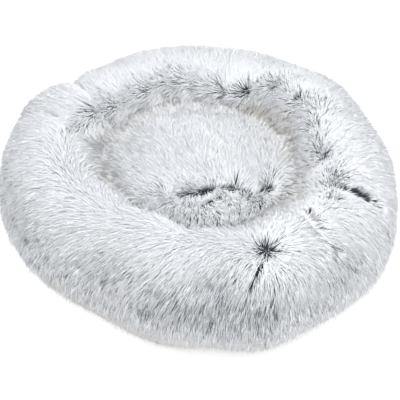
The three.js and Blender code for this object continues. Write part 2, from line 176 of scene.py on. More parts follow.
class Wire:
    """A value in a node tree. Sums with it are written as with plain numbers."""

    def __init__(self, graph: "Graph", socket: NodeSocket) -> None:
        """Take the output that gives the value."""
        self.graph = graph
        self.socket = socket

    def joined(self, operation: str, first: object, second: object) -> "Wire":
        """Work out an operation on this value and another.

        Args:
            operation: The Math node's name for it.
            first: This value or a plain number.
            second: The other of the two. Next to a vector, a single number scales it.

        Returns:
            The result.
        """
        pair = (first, second)
        vectors = [isinstance(value, Wire) and value.socket.type == "VECTOR" for value in pair]
        if not any(vectors):
            return self.graph.math(operation, first, second)
        return self.graph.vector(operation if all(vectors) else "SCALE", first, second)

    def __add__(self, other: object) -> "Wire":
        """Return the sum."""
        return self.joined("ADD", self, other)

    def __sub__(self, other: object) -> "Wire":
        """Return the difference."""
        return self.joined("SUBTRACT", self, other)

    def __rsub__(self, other: float) -> "Wire":
        """Return a number less this value."""
        return self.joined("SUBTRACT", other, self)

    def __mul__(self, other: object) -> "Wire":
        """Return the product."""
        return self.joined("MULTIPLY", self, other)

    def __rtruediv__(self, other: float) -> "Wire":
        """Return a number divided by this value."""
        return self.joined("DIVIDE", other, self)


class Graph:
    """A node tree being built: it adds nodes, sets what they are given and joins them."""

    def __init__(self, tree: NodeTree) -> None:
        """Take the tree to build in."""
        self.tree = tree

    @staticmethod
    def socket(sockets: bpy.types.bpy_prop_collection, name: str) -> NodeSocket:
        """Return the enabled socket of a name."""
        return next(s for s in sockets if s.name == name and s.enabled)

    def give(self, target: NodeSocket, value: object) -> None:
        """Join an input to a wire, or set it to a plain value."""
        if isinstance(value, Wire):
            self.tree.links.new(value.socket, target)
        else:
            target.default_value = value

    def fill(self, node: Node, given: dict[str, object]) -> None:
        """Give a node's inputs their wires or values, by their names."""
        for name, value in given.items():
            self.give(self.socket(node.inputs, name), value)

    def node(self, kind: str, given: dict[str, object] | None = None, **settings: object) -> Node:
        """Add a node.

        Args:
            kind: The node's type name.
            given: What its inputs take, by their names.
            settings: The node's own settings.

        Returns:
            The node.
        """
        node = self.tree.nodes.new(kind)
        for name, value in settings.items():
            setattr(node, name, value)
        self.fill(node, given or {})
        return node

    def out(
        self, kind: str, output: str, given: dict[str, object] | None = None, **settings: object
    ) -> Wire:
        """Add a node and return one of its outputs by name."""
        return Wire(self, self.socket(self.node(kind, given, **settings).outputs, output))

    def outs(
        self, kind: str, given: dict[str, object] | None = None, **settings: object
    ) -> dict[str, Wire]:
        """Add a node and return its outputs by their names."""
        return {s.name: Wire(self, s) for s in self.node(kind, given, **settings).outputs}

    def math(self, operation: str, *values: object) -> Wire:
        """Add a Math node and return its result."""
        node = self.node("ShaderNodeMath", operation=operation)
        for target, value in zip(node.inputs, values):
            self.give(target, value)
        return Wire(self, node.outputs[0])

    def vector(self, operation: str, *values: object) -> Wire:
        """Add a Vector Math node and return its result. The second value of SCALE is its scale."""
        node = self.node("ShaderNodeVectorMath", operation=operation)
        targets = (node.inputs[0], node.inputs["Scale"]) if operation == "SCALE" else node.inputs
        for target, value in zip(targets, values):
            self.give(target, value)
        return Wire(self, node.outputs["Value" if operation == "LENGTH" else "Vector"])

    def chance(self, low: float, high: float, seed: int) -> Wire:
        """Return a random number for each point, from low to high."""
        given = {"Min": low, "Max": high, "Seed": seed}
        return self.out("FunctionNodeRandomValue", "Value", given, data_type="FLOAT")

    def named(self, name: str, data_type: str = "FLOAT") -> Wire:
        """Return a named attribute of the geometry."""
        given = {"Name": name}
        return self.out("GeometryNodeInputNamedAttribute", "Attribute", given, data_type=data_type)

    def store(
        self,
        geometry: Wire,
        name: str,
        value: Wire,
        data_type: str = "FLOAT",
        domain: str = "POINT",
    ) -> Wire:
        """Store a named attribute and return the geometry that has it."""
        given = {"Geometry": geometry, "Name": name, "Value": value}
        kinds = {"data_type": data_type, "domain": domain}
        return self.out("GeometryNodeStoreNamedAttribute", "Geometry", given, **kinds)

    def split(self, vector: Wire) -> dict[str, Wire]:
        """Return a vector's X, Y and Z."""
        return self.outs("ShaderNodeSeparateXYZ", {"Vector": vector})

    def crossed(self, first: Wire, second: Wire) -> Wire:
        """Return the cross product of two vectors, one long."""
        return self.vector("NORMALIZE", self.vector("CROSS_PRODUCT", first, second))

    def mix(self, share: Wire, first: object, second: object) -> Wire:
        """Return the mix of two colours, with a share of the second."""
        given = {"Factor": share, "A": first, "B": second}
        return self.out("ShaderNodeMix", "Result", given, data_type="RGBA")

    def place(self) -> Wire:
        """Return the object's own coordinates."""
        return self.out("ShaderNodeTexCoord", "Object")

    def noise(self, scale: float, detail: float) -> Wire:
        """Return a noise over the object's own coordinates."""
        given = {"Vector": self.place(), "Scale": scale, "Detail": detail}
        return self.out("ShaderNodeTexNoise", "Fac", given)

    def relief(self, height: Wire, strength: float, distance: float) -> Wire:
        """Return the normal of a surface raised by a height."""
        given = {"Height": height, "Strength": strength, "Distance": distance}
        return self.out("ShaderNodeBump", "Normal", given)


def new_group(name: str, kind: str, inputs: dict[str, str], outputs: dict[str, str]) -> NodeTree:
    """Make an empty node group with its sockets.

    Args:
        name: The group's name.
        kind: Shader or Geometry.
        inputs: The kind of each input, by its name.
        outputs: The kind of each output, by its name.

    Returns:
        The group's tree.
    """
    tree = bpy.data.node_groups.new(name, f"{kind}NodeTree")
    for way, sockets in (("INPUT", inputs), ("OUTPUT", outputs)):
        for socket, value in sockets.items():
            tree.interface.new_socket(socket, in_out=way, socket_type=f"NodeSocket{value}")
    return tree


def new_material(name: str) -> tuple[Material, Graph, Node]:
    """Make a material, and return it with its graph and its shader."""
    material = bpy.data.materials.new(name)
    material.use_nodes = True
    return material, Graph(material.node_tree), material.node_tree.nodes["Principled BSDF"]


@dataclass(frozen=True)
class Swell:
    """A fuller or slacker stretch of the ring: where, over how many degrees, how far out and up."""

    azimuth: float
    spread: float
    out: float
    up: float


@dataclass(frozen=True)
class Tuft:
    """A pulled point of the ring: its azimuth, its angle round the section, its width and depth."""

    azimuth: float
    angle: float
    spread: float
    depth: float


@dataclass
class RingForm:
    """The ring's shape as its pile's tips give it. Angles round its section run from 0 at its outer
    side over 90 at its crest to 180 at the side towards the pad."""

    radius: float = 0.224
    width: float = 0.152
    height: float = 0.158
    sag: float = 0.020
    power: float = 2.3
    floor: float = 0.0015
    swells: tuple[Swell, ...] = (
        Swell(5, 16, 0.00213, 0.0),
        Swell(40, 14, 0.02037, 0.00608),
        Swell(68, 14, 0.01064, 0.00319),
        Swell(136, 18, -0.019, -0.00486),
        Swell(168, 8, 0.00654, 0.00182),
        Swell(204, 16, 0.0038, 0.00106),
        Swell(246, 15, -0.01307, 0.0),
        Swell(277, 8, -0.00623, 0.0),
        Swell(291, 8, 0.00593, -0.00304),
        Swell(328, 16, 0.00912, 0.0),
    )
    fold_azimuth: float = 148
    fold_slant: float = 0.09
    fold_spread: float = 4
    fold_depth: float = 0.010
    gathers: tuple[float, ...] = (22, 51, 79, 97, 118, 143, 190, 215, 242, 266, 328, 354)
    gather_angle: float = 138
    gather_reach: float = 34
    gather_spread: float = 7
    gather_depth: float = 0.007
    tufts: tuple[Tuft, ...] = (
        Tuft(293, 89, 0.024, 0.013),
        Tuft(336, 84, 0.018, 0.008),
        Tuft(310, 84, 0.020, 0.005),
    )

    def drawn_in(self, azimuth: Array, angle: Array) -> Array:
        """Return how far the surface is drawn in towards the middle of its section."""
        round_it = 0.5 + 0.5 * np.sin(np.radians(angle))
        across = turn_between(azimuth, self.fold_azimuth + self.fold_slant * angle)
        depth = self.fold_depth * round_it * bump(across, self.fold_spread)
        for gather in self.gathers:
            across = bump(turn_between(azimuth, gather), self.gather_spread)
            along = bump(angle - self.gather_angle, self.gather_reach)
            depth = depth + self.gather_depth * across * along
        for tuft in self.tufts:
            across = np.radians(turn_between(azimuth, tuft.azimuth)) * self.radius
            along = np.radians(angle - tuft.angle) * self.width / 2
            depth = depth + tuft.depth * bump(np.hypot(across, along), tuft.spread)
        return depth

    def section(self, azimuth: Array, depth: float) -> tuple[Array, ...]:
        """Work out the section at each azimuth.

        Args:
            azimuth: The azimuths, in degrees.
            depth: How deep inside the pile's tips the surface lies.

        Returns:
            How far the outer side stands out, half the height, the height of the middle, and the
            angle where the outer side meets the floor.
        """
        out = np.zeros_like(azimuth)
        up = np.zeros_like(azimuth)
        for swell in self.swells:
            near = bump(turn_between(azimuth, swell.azimuth), swell.spread)
            out = out + swell.out * near
            up = up + swell.up * near
        top = self.height + up - depth
        half_height = (top - self.floor + self.sag) / 2
        middle = top - half_height
        hem = -np.degrees(np.arcsin(((middle - self.floor) / half_height) ** (self.power / 2)))
        return out, half_height, middle, hem

    def point(self, azimuth: Array, angle: Array, depth: float) -> Array:
        """Return the surface's points, as rows of x, y and z."""
        out, half_height, middle, _ = self.section(azimuth, depth)
        c = np.cos(np.radians(angle))
        s = np.sin(np.radians(angle))
        drawn = self.drawn_in(azimuth, angle)
        half_width = self.width / 2 - depth
        reach = half_width * signed_power(c, 2 / self.power) + out * (1 + c) / 2 - drawn * c
        height = middle + half_height * signed_power(s, 2 / self.power) - drawn * s
        height = np.maximum(height, self.floor)
        a = np.radians(azimuth)
        radius = self.radius + reach
        return np.stack([radius * np.cos(a), radius * np.sin(a), height], axis=-1)

    def inner_radius(self, azimuth: Array) -> Array:
        """Return how close the ring's inner side comes to the middle of the bed."""
        angles = np.arange(150.0, 211.0, 5.0)
        grid = self.point(azimuth[:, None] + 0 * angles, angles + 0 * azimuth[:, None], 0.0)
        return np.hypot(grid[..., 0], grid[..., 1]).min(axis=1)


@dataclass
class PadForm:
    """The pad's shape as its pile's tips give it, inside the ring. Angles up its side run from -90
    at its foot over 0 at its rim to 90 at its crown."""

    ring: RingForm
    height: float = 0.112
    rim_height: float = 0.080
    foot_height: float = 0.012
    foot_share: float = 0.82
    power: float = 4.0
    gap: float = 0.0005
    crease: Route = (
        (-0.071, -0.098), (-0.024, -0.078), (0.004, -0.061), (0.038, -0.058), (0.073, -0.067),
        (0.108, -0.044),
    )
    parting: Route = (
        (-0.046, -0.086), (-0.030, -0.087), (-0.013, -0.083), (0.010, -0.075), (0.024, -0.067),
        (0.033, -0.064), (0.044, -0.062), (0.055, -0.058), (0.066, -0.063), (0.076, -0.067),
        (0.087, -0.067), (0.096, -0.063), (0.105, -0.052), (0.114, -0.046),
    )
    dark_stretches: tuple[tuple[float, float, float], ...] = (
        (0.006, 0.016, 1.0), (0.046, 0.010, 1.0), (0.101, 0.009, 0.8), (-0.018, 0.014, 0.7),
    )
    hub: tuple[float, float] = (0.034, -0.068)
    straight: Route = ((0.053, -0.110), (0.112, -0.088))
    straight_reach: float = 0.015
    crease_spread: float = 0.017
    crease_depth: float = 0.009

    def point(self, azimuth: Array, angle: Array, depth: float) -> Array:
        """Return the surface's points, as rows of x, y and z."""
        reach = self.ring.inner_radius(azimuth.ravel()).reshape(azimuth.shape) - self.gap - depth
        c = np.abs(np.cos(np.radians(angle))) ** (2 / self.power)
        s = signed_power(np.sin(np.radians(angle)), 2 / self.power)
        below = angle < 0
        c = np.where(angle > 89.9, 0, c)
        c = np.where(below, self.foot_share + (1 - self.foot_share) * c, c)
        rise = self.height - depth - self.rim_height
        rise = np.where(below, self.rim_height - self.foot_height, rise)
        a = np.radians(azimuth)
        x = reach * c * np.cos(a)
        y = reach * c * np.sin(a)
        flat = np.stack([x.ravel(), y.ravel()], axis=-1)
        away = lengths(from_path(flat, np.array(self.crease))).reshape(azimuth.shape)
        drop = np.where(angle > 0, self.crease_depth * bump(away, self.crease_spread), 0)
        return np.stack([x, y, self.rim_height + rise * s - drop], axis=-1)


def mesh_object(name: str, points: Array, faces: list[tuple[int, ...]]) -> Object:
    """Make a smooth mesh object at the origin and put it in the scene.

    Args:
        name: The object's name.
        points: Its vertices, as rows.
        faces: Its faces, as vertex numbers.

    Returns:
        The object.
    """
    mesh = bpy.data.meshes.new(name)
    mesh.from_pydata(points.tolist(), [], faces)
    mesh.shade_smooth()
    made = bpy.data.objects.new(name, mesh)
    bpy.context.collection.objects.link(made)
    return made


def applied(made: Object) -> Object:
    """Make an object's modifiers part of its mesh.

    Args:
        made: The object.

    Returns:
        The same object, with a plain mesh and no modifiers.
    """
    graph = bpy.context.evaluated_depsgraph_get()
    old = made.data
    fresh = bpy.data.meshes.new_from_object(made.evaluated_get(graph), depsgraph=graph)
    made.modifiers.clear()
    made.data = fresh
    fresh.name = made.name
    bpy.data.meshes.remove(old)
    return made


def dressed(made: Object, tree: NodeTree, given: dict[str, object]) -> None:
    """Run a Geometry Nodes tree on an object and make its result the object's mesh.

    Args:
        made: The object.
        tree: The tree.
        given: The values of its named inputs.
    """
    growth = made.modifiers.new(tree.name, "NODES")
    growth.node_group = tree
    for item in tree.interface.items_tree:
        if item.in_out == "INPUT" and item.name in given:
            growth[item.identifier] = given[item.name]
    applied(made)


def put(mesh: Mesh, name: str, values: Array) -> None:
    """Store numbers or vectors on a mesh's vertices under a name."""
    kind, key = ("FLOAT", "value") if values.ndim == 1 else (VECTOR, "vector")
    layer = mesh.attributes.new(name, kind, "POINT")
    layer.data.foreach_set(key, np.ascontiguousarray(values, dtype=np.float32).ravel())


def got(mesh: Mesh, name: str) -> Array:
    """Read the numbers stored on a mesh's vertices under a name."""
    values = np.empty(len(mesh.vertices), dtype=np.float32)
    mesh.attributes[name].data.foreach_get("value", values)
    return values.astype(float)


def places(mesh: Mesh) -> tuple[Array, Array]:
    """Return a mesh's vertices and their normals, as rows."""
    points = np.empty(len(mesh.vertices) * 3, dtype=np.float32)
    normals = np.empty(len(mesh.vertices) * 3, dtype=np.float32)
    mesh.vertices.foreach_get("co", points)
    mesh.vertex_normals.foreach_get("vector", normals)
    return points.reshape(-1, 3).astype(float), normals.reshape(-1, 3).astype(float)


def swollen(made: Object, held: Array, pressure: float, most: float) -> None:
    """Fill a padded skin: blow it up as cloth between the places where it is sewn down.

    Args:
        made: The skin, a closed mesh.
        held: How firmly each vertex is held, from 0 to 1.
        pressure: The pressure inside.
        most: How far a vertex may move, in metres.
    """
    before, _ = places(made.data)
    group = made.vertex_groups.new(name="sewn")
    for level in np.unique(np.round(held, 1)):
        group.add(np.flatnonzero(np.round(held, 1) == level).tolist(), float(level), "REPLACE")
    cloth = made.modifiers.new("filling", "CLOTH")
    for name, value in CLOTH_SETTINGS.items():
        setattr(cloth.settings, name, value)
    cloth.settings.vertex_group_mass = group.name
    cloth.settings.uniform_pressure_force = pressure
    cloth.settings.effector_weights.gravity = 0
    cloth.collision_settings.use_collision = False
    scene = bpy.context.scene
    for step in range(1, CLOTH_STEPS + 1):
        scene.frame_set(step)
    applied(made)
    scene.frame_set(1)
    after, _ = places(made.data)
    moved = after - before
    length = np.linalg.norm(moved, axis=1, keepdims=True)
    capped = before + moved * np.minimum(1, most / np.maximum(length, 1e-9))
    capped[:, 2] = np.maximum(capped[:, 2], before[:, 2].min())
    made.data.vertices.foreach_set("co", capped.astype(np.float32).ravel())
    made.vertex_groups.clear()
    made.data.update()


def refined(made: Object, levels: int) -> Object:
    """Make a finer copy of a mesh by subdivision.

    Args:
        made: The object to copy.
        levels: How often each face is split in four.

    Returns:
        The copy, with a plain mesh.
    """
    copy = bpy.data.objects.new(f"{made.name}_fine", made.data.copy())
    bpy.context.collection.objects.link(copy)
    finer = copy.modifiers.new("rounding", "SUBSURF")
    finer.levels = levels
    finer.render_levels = levels
    return applied(copy)


def grid_faces(around: int, rows: int, looped: bool) -> list[tuple[int, ...]]:
    """List the quads of a grid that closes on itself around, and along too if looped.

    Args:
        around: The number of lines round the bed.
        rows: The number of points on each line.
        looped: Whether each line closes on itself.

    Returns:
        The faces, as vertex numbers, facing out where the lines run outwards over the top and in.
    """
    faces = []
    for i in range(around):
        after = (i + 1) % around
        for k in range(rows if looped else rows - 1):
            up = (k + 1) % rows
            faces.append((i * rows + k, after * rows + k, after * rows + up, i * rows + up))
    return faces


def grid_uvs(mesh: Mesh, around: int, rows: int) -> None:
    """Lay a grid's own lines out as its map, each face in a place of its own."""
    layer = mesh.uv_layers.new(name=BAKE_UV)
    loops = np.empty(len(mesh.loops), dtype=np.int32)
    mesh.loops.foreach_get("vertex_index", loops)
    quads = loops.reshape(-1, 4)
    u = (quads // rows).astype(float)
    v = (quads % rows).astype(float)
    u = np.where(u.max(axis=1, keepdims=True) - u > around / 2, u + around, u) / around
    v = np.where(v.max(axis=1, keepdims=True) - v > rows / 2, v + rows, v) / rows
    layer.data.foreach_set("uv", np.stack([u, v], axis=-1).astype(np.float32).ravel())


@dataclass(frozen=True)
class PileLook:
    """A frosted pile: dark at its roots and pale at its tips. The shares say how much of a hair is
    dark, on the palest and on the greyest hairs, and over how much of it the colour changes. The
    lower half of the map holds the cool hairs and the upper half the hairs with a warm tip, a tint
    that paints shade in the grooves and bounce light at the foot."""

    name: str
    root: str = "5c646e"
    tip: str = "f7f9fc"
    # The warm tip colour is painted light: shade in the grooves and bounce light at the foot.
    warm_tip: str = "f6f2ea"
    least_dark: float = 0.06
    most_dark: float = 0.78
    change: float = 0.34
    roughness: float = 0.62
    gloss: float = 0.1

    @staticmethod
    def group() -> NodeTree:
        """Make the node group that colours a hair along its length."""
        inputs = {name: "Color" for name in ("Root colour", "Tip colour", "Warm tip colour")}
        inputs |= {name: "Float" for name in ("Least dark", "Most dark", "Change")}
        tree = new_group("frosted hair", "Shader", inputs, {"Colour": "Color"})
        graph = Graph(tree)
        given = graph.outs("NodeGroupInput")
        uv = graph.out("ShaderNodeUVMap", "UV", uv_map=BAKE_UV)
        split = graph.split(uv)
        warm = graph.math("GREATER_THAN", split["Y"], 0.5)
        grey = graph.math("FRACT", split["Y"] * 2.0)
        middle = grey * (given["Most dark"] - given["Least dark"]) + given["Least dark"]
        half = given["Change"] * 0.5
        limits = {"Value": split["X"], "From Min": middle - half, "From Max": middle + half}
        even = {"interpolation_type": "SMOOTHSTEP"}
        paleness = graph.out("ShaderNodeMapRange", "Result", limits, **even)
        tip = graph.mix(warm, given["Tip colour"], given["Warm tip colour"])
        graph.node("NodeGroupOutput", {"Colour": graph.mix(paleness, given["Root colour"], tip)})
        return tree

    def material(self) -> Material:
        """Return the hairs' material."""
        material, graph, shader = new_material(self.name)
        given = {
            "Root colour": hexed(self.root),
            "Tip colour": hexed(self.tip),
            "Warm tip colour": hexed(self.warm_tip),
            "Least dark": self.least_dark,
            "Most dark": self.most_dark,
            "Change": self.change,
        }
        colour = graph.out("ShaderNodeGroup", "Colour", given, node_tree=self.group())
        sheen = {"Roughness": self.roughness, "Specular IOR Level": self.gloss}
        graph.fill(shader, {"Base Color": colour, **sheen})
        return material


@dataclass(frozen=True)
class BackingLook:
    """The knitted backing that the pile stands on, dark with the hairs' roots, or loose fibre."""

    name: str = "pile backing"
    dark: str = "2b2f35"
    pale: str = "4a5058"
    grain: float = 900.0

    def material(self) -> Material:
        """Return the backing's material."""
        material, graph, shader = new_material(self.name)
        noise = graph.noise(self.grain, 3.0)
        colour = graph.mix(noise, hexed(self.dark), hexed(self.pale))
        relief = graph.relief(noise, 0.6, 0.0006)
        graph.fill(shader, {"Base Color": colour, "Normal": relief, "Roughness": 0.95})
        return material


@dataclass(frozen=True)
class WovenLook:
    """A plain woven or bonded cloth: two crossing sets of threads, with a little dirt and wear."""

    name: str
    colour: str
    shade: str
    cloth: Cloth
    relief: float = 0.35

    @staticmethod
    def group() -> NodeTree:
        """Return the node group of crossing threads, making it the first time."""
        name = "crossing threads"
        if name in bpy.data.node_groups:
            return bpy.data.node_groups[name]
        tree = new_group(name, "Shader", {"Pitch": "Float"}, {"Thread": "Float", "Mottle": "Float"})
        graph = Graph(tree)
        turns = 2 * math.pi / graph.out("NodeGroupInput", "Pitch")
        place = graph.split(graph.place())
        over = graph.math("SINE", place["X"] * turns) * graph.math("SINE", place["Y"] * turns)
        mottle = graph.noise(55.0, 4.0)
        graph.node("NodeGroupOutput", {"Thread": over * 0.5 + 0.5, "Mottle": mottle})
        return tree

    def material(self) -> Material:
        """Return the cloth's material."""
        material, graph, shader = new_material(self.name)
        weave = graph.outs("ShaderNodeGroup", {"Pitch": self.cloth.value}, node_tree=self.group())
        tint = weave["Mottle"] * 0.5 + (weave["Thread"] * 0.45 + 0.1)
        colour = graph.mix(tint, hexed(self.shade), hexed(self.colour))
        relief = graph.relief(weave["Thread"], self.relief, 0.0003)
        graph.fill(shader, {"Base Color": colour, "Normal": relief, "Roughness": 0.85})
        return material


@dataclass(frozen=True)
class HardLook:
    """Moulded plastic or plated metal, a little uneven and worn."""

    name: str
    colour: str
    worn: str
    metallic: float
    roughness: float
    coat: float = 0.0

    def material(self) -> Material:
        """Return the material."""
        material, graph, shader = new_material(self.name)
        fine = graph.noise(700.0, 5.0)
        limits = {"Value": fine, "From Min": 0.55, "From Max": 0.75}
        wear = graph.out("ShaderNodeMapRange", "Result", limits)
        given = {
            "Base Color": graph.mix(wear, hexed(self.colour), hexed(self.worn)),
            "Roughness": fine * 0.25 + (self.roughness - 0.12),
            "Metallic": self.metallic,
            "Coat Weight": self.coat,
        }
        graph.fill(shader, given)
        return material


def one_hair() -> Object:
    """Make the hair that all are copies of: a closed spindle of three sides that ends in points."""
    along = np.array([0.0, BEND_SHARE, BEND_SHARE, BEND_SHARE, 1.0])
    turns = np.array([0, 0, 1, 2, 0]) * 2 * math.pi / 3
    out = np.array([0.0, 1.0, 1.0, 1.0, 0.0])
    faces = [(0, 2, 1), (0, 3, 2), (0, 1, 3), (1, 2, 4), (2, 3, 4), (3, 1, 4)]
    made = mesh_object("one_hair", np.stack([0 * along, 0 * along, along], axis=-1) * 0.01, faces)
    put(made.data, "along", along)
    put(made.data, "round", np.stack([out * np.cos(turns), out * np.sin(turns), 0 * out], axis=-1))
    return made


class PileTree:
    """The Geometry Nodes tree that grows the pile on a combed skin."""

    seed: int = 7
    loose_share: float = 0.05
    streak_rarity: float = 9.0
    streak_pull: float = 0.3
    streak_rise: float = 0.0012
    tone_step: float = 0.003
    stray_lift: tuple[float, float] = (0.08, 0.42)
    length_spread: tuple[float, float] = (0.82, 1.15)
    pull_spread: tuple[float, float] = (0.6, 1.15)
    bow_spread: tuple[float, float] = (0.1, 0.24)
    streak_spread: tuple[float, float] = (0.1, 1.9)
    grey_spread: tuple[float, float] = (-0.13, 0.13)
    grey_limits: tuple[float, float] = (0.02, 0.97)

    def __init__(self) -> None:
        """Build the tree."""
        sizes = ("Hairs", "Lock spacing", "Hair width", "Floor", "Streaks")
        inputs = {"Skin": "Geometry", **{name: "Float" for name in sizes}}
        inputs |= {"Sector": "Int", "Hair": "Object", "Material": "Material"}
        self.tree = new_group("pile", "Geometry", inputs, {"Pile": "Geometry"})
        self.graph = Graph(self.tree)
        self.given = self.graph.outs("NodeGroupInput")
        self.here = self.graph.out("GeometryNodeInputPosition", "Position")
        self.outward = self.graph.vector("NORMALIZE", self.graph.named("outward", VECTOR))
        pile = self.grown(self.rooted(self.locks()))
        self.graph.node("NodeGroupOutput", {"Pile": pile})

    def tip(self, spread: float, sway: Wire, seed: int, stray: Wire | None = None) -> Wire:
        """Work out where a hair or lock that starts at each point ends.

        Args:
            spread: How far its lift varies, as a share.
            sway: How far it turns aside at most, in radians.
            seed: The seed of its random numbers.
            stray: Whether it stands clear of the rest, 0 or 1.

        Returns:
            The place of its tip.
        """
        graph = self.graph
        comb = graph.named("comb", VECTOR)
        turn = graph.chance(-1, 1, seed) * sway
        aside = graph.vector("CROSS_PRODUCT", self.outward, comb)
        lie = comb * graph.math("COSINE", turn) + aside * graph.math("SINE", turn)
        lift = graph.named("lift") * graph.chance(1 - spread, 1 + spread, seed + 1)
        if stray is not None:
            lift = stray * graph.chance(*self.stray_lift, seed + 3) + lift
        way = lie * graph.math("COSINE", lift) + self.outward * graph.math("SINE", lift)
        length = graph.named("length") * graph.chance(*self.length_spread, seed + 2)
        return self.here + graph.vector("NORMALIZE", way) * length

    def locks(self) -> Wire:
        """Scatter the locks' roots, an even distance apart, and store their tips and greyness."""
        graph, spacing = self.graph, self.given["Lock spacing"]
        scatter = {"Mesh": self.given["Skin"], "Distance Min": spacing, "Seed": self.seed}
        scatter["Density Max"] = 1.6 / (spacing * spacing)
        points = graph.out(
            "GeometryNodeDistributePointsOnFaces", "Points", scatter, distribute_method="POISSON"
        )
        tip = self.tip(0.4, graph.named("sway"), self.seed + 10)
        points = graph.store(points, "lock_tip", tip, VECTOR)
        rare = graph.math("POWER", graph.chance(0, 1, self.seed + 13), self.streak_rarity)
        return graph.store(points, "lock_grey", rare)

    def rooted(self, locks: Wire) -> Wire:
        """Scatter the hairs' roots and store where each hair bends and ends and how grey it is."""
        graph, given, seed = self.graph, self.given, self.seed
        sectors = {"A": graph.named("sector", "INT"), "B": given["Sector"]}
        scatter = {
            "Mesh": given["Skin"],
            "Selection": graph.out(
                "FunctionNodeCompare", "Result", sectors, data_type="INT", operation="EQUAL"
            ),
            "Density": given["Hairs"] * graph.named("cover"),
            "Seed": seed + 1,
        }
        points = graph.out(
            "GeometryNodeDistributePointsOnFaces", "Points", scatter, distribute_method="RANDOM"
        )
        nearest = graph.out("GeometryNodeSampleNearest", "Index", {"Geometry": locks})
        lock_tip, lock_grey = (
            graph.out(
                "GeometryNodeSampleIndex",
                "Value",
                {"Geometry": locks, "Value": graph.named(name, kind), "Index": nearest},
                data_type=kind,
            )
            for name, kind in (("lock_tip", VECTOR), ("lock_grey", "FLOAT"))
        )
        loose = graph.math("LESS_THAN", graph.chance(0, 1, seed + 20), self.loose_share)
        strong = graph.math("MINIMUM", graph.named("grey") * 2.1, 1.0) * lock_grey
        pull = graph.named("pull") * graph.chance(*self.pull_spread, seed + 21)
        pull = (strong * self.streak_pull + pull) * (1.0 - loose)
        own_tip = self.tip(0.3, graph.named("sway") * 0.45 + 0.1, seed + 30, stray=loose)
        tip = own_tip + (lock_tip - own_tip) * pull + self.outward * (strong * self.streak_rise)
        hair = tip - self.here
        rise = graph.vector("LENGTH", hair) * graph.chance(*self.bow_spread, seed + 22)
        bend = self.here + hair * BEND_SHARE + self.outward * rise
        side = graph.crossed(hair, self.outward)
        edge = graph.crossed(hair, side)
        some = strong * graph.chance(*self.streak_spread, seed + 25)
        grey = some * given["Streaks"] + graph.named("grey")
        grey = grey + graph.chance(*self.grey_spread, seed + 23)
        for operation, limit in zip(("MAXIMUM", "MINIMUM"), self.grey_limits):
            grey = graph.math(operation, grey, limit)
        # Hairs that take the warm tip, as often as stored: painted shade and painted bounce light.
        warm = graph.math("LESS_THAN", graph.chance(0, 1, seed + 24), graph.named("warm"))
        tone = (grey + warm) * 0.5
        corners = {"root": self.here, "bend": bend, "tip": tip, "side": side, "edge": edge}
        for name, value in corners.items():
            points = graph.store(points, name, value, VECTOR)
        return graph.store(points, "hair_tone", tone)

    def grown(self, points: Wire) -> Wire:
        """Put a hair on each root, bend it to its place, and give it its map and its material."""
        graph, given = self.graph, self.given
        hair = graph.out("GeometryNodeObjectInfo", "Geometry", {"Object": given["Hair"]})
        placed = {"Points": points, "Instance": hair}
        instances = graph.out("GeometryNodeInstanceOnPoints", "Instances", placed)
        geometry = graph.out("GeometryNodeRealizeInstances", "Geometry", {"Geometry": instances})
        along = graph.named("along")
        section = graph.split(graph.named("round", VECTOR))
        before = graph.math("LESS_THAN", along, 0.1)
        after = graph.math("GREATER_THAN", along, 0.9)
        half = given["Hair width"] * 0.5
        place = graph.named("root", VECTOR) * before
        for name, share in (
            ("bend", 1.0 - (before + after)),
            ("tip", after),
            ("side", section["X"] * half),
            ("edge", section["Y"] * half),
        ):
            place = place + graph.named(name, VECTOR) * share
        split = graph.split(place)
        split["Z"] = graph.math("MAXIMUM", split["Z"], given["Floor"])
        place = graph.out("ShaderNodeCombineXYZ", "Vector", split)
        moved = {"Geometry": geometry, "Position": place}
        geometry = graph.out("GeometryNodeSetPosition", "Geometry", moved)
        shade = (section["Y"] * 0.5 + section["X"]) * self.tone_step + graph.named("hair_tone")
        uv = graph.out("ShaderNodeCombineXYZ", "Vector", {"X": along, "Y": shade})
        geometry = graph.store(geometry, BAKE_UV, uv, "FLOAT2", "CORNER")
        for name in (
            "root", "bend", "tip", "side", "edge", "hair_tone", "along", "round", "comb", "outward",
            "lift", "length", "grey", "warm", "cover", "pull", "sway", "section_angle", "sector",
        ):
            spare = {"Geometry": geometry, "Name": name}
            geometry = graph.out("GeometryNodeRemoveAttribute", "Geometry", spare)
        finished = {"Geometry": geometry, "Material": given["Material"]}
        return graph.out("GeometryNodeSetMaterial", "Geometry", finished)


@dataclass(frozen=True)
class Stock:
    """What the plush pieces are made of: the pile's tree, its hair and the materials."""

    tree: NodeTree
    hair: Object
    pile: Material
    backing: Material
    liner: Material
    fibre: Material


@dataclass
class Pile:
    """Long pile grown on a skin: hairs drawn together in locks. Lengths in metres, hairs for each
    square metre."""

    hairs: float
    lock_spacing: float
    hair_width: float = 0.0008
    streaks: float = 0.24
    floor: float = 0.0008

    def grow(self, name: str, skin: Mesh, sector: int, stock: Stock) -> None:
        """Grow the pile on one sector of a skin, as a piece of its own.

        Args:
            name: The name of the piece.
            skin: The combed skin, its faces marked with their sectors.
            sector: The sector to grow it on.
            stock: The tree, the hair and the material.
        """
        made = bpy.data.objects.new(name, skin.copy())
        bpy.context.collection.objects.link(made)
        sizes = {
            "Hairs": self.hairs,
            "Lock spacing": self.lock_spacing,
            "Hair width": self.hair_width,
            "Floor": self.floor,
            "Streaks": self.streaks,
            "Sector": sector,
            "Hair": stock.hair,
            "Material": stock.pile,
        }
        dressed(made, stock.tree, sizes)
        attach(made, BODY)
        LOG.info("%s: %d faces", name, len(made.data.polygons))


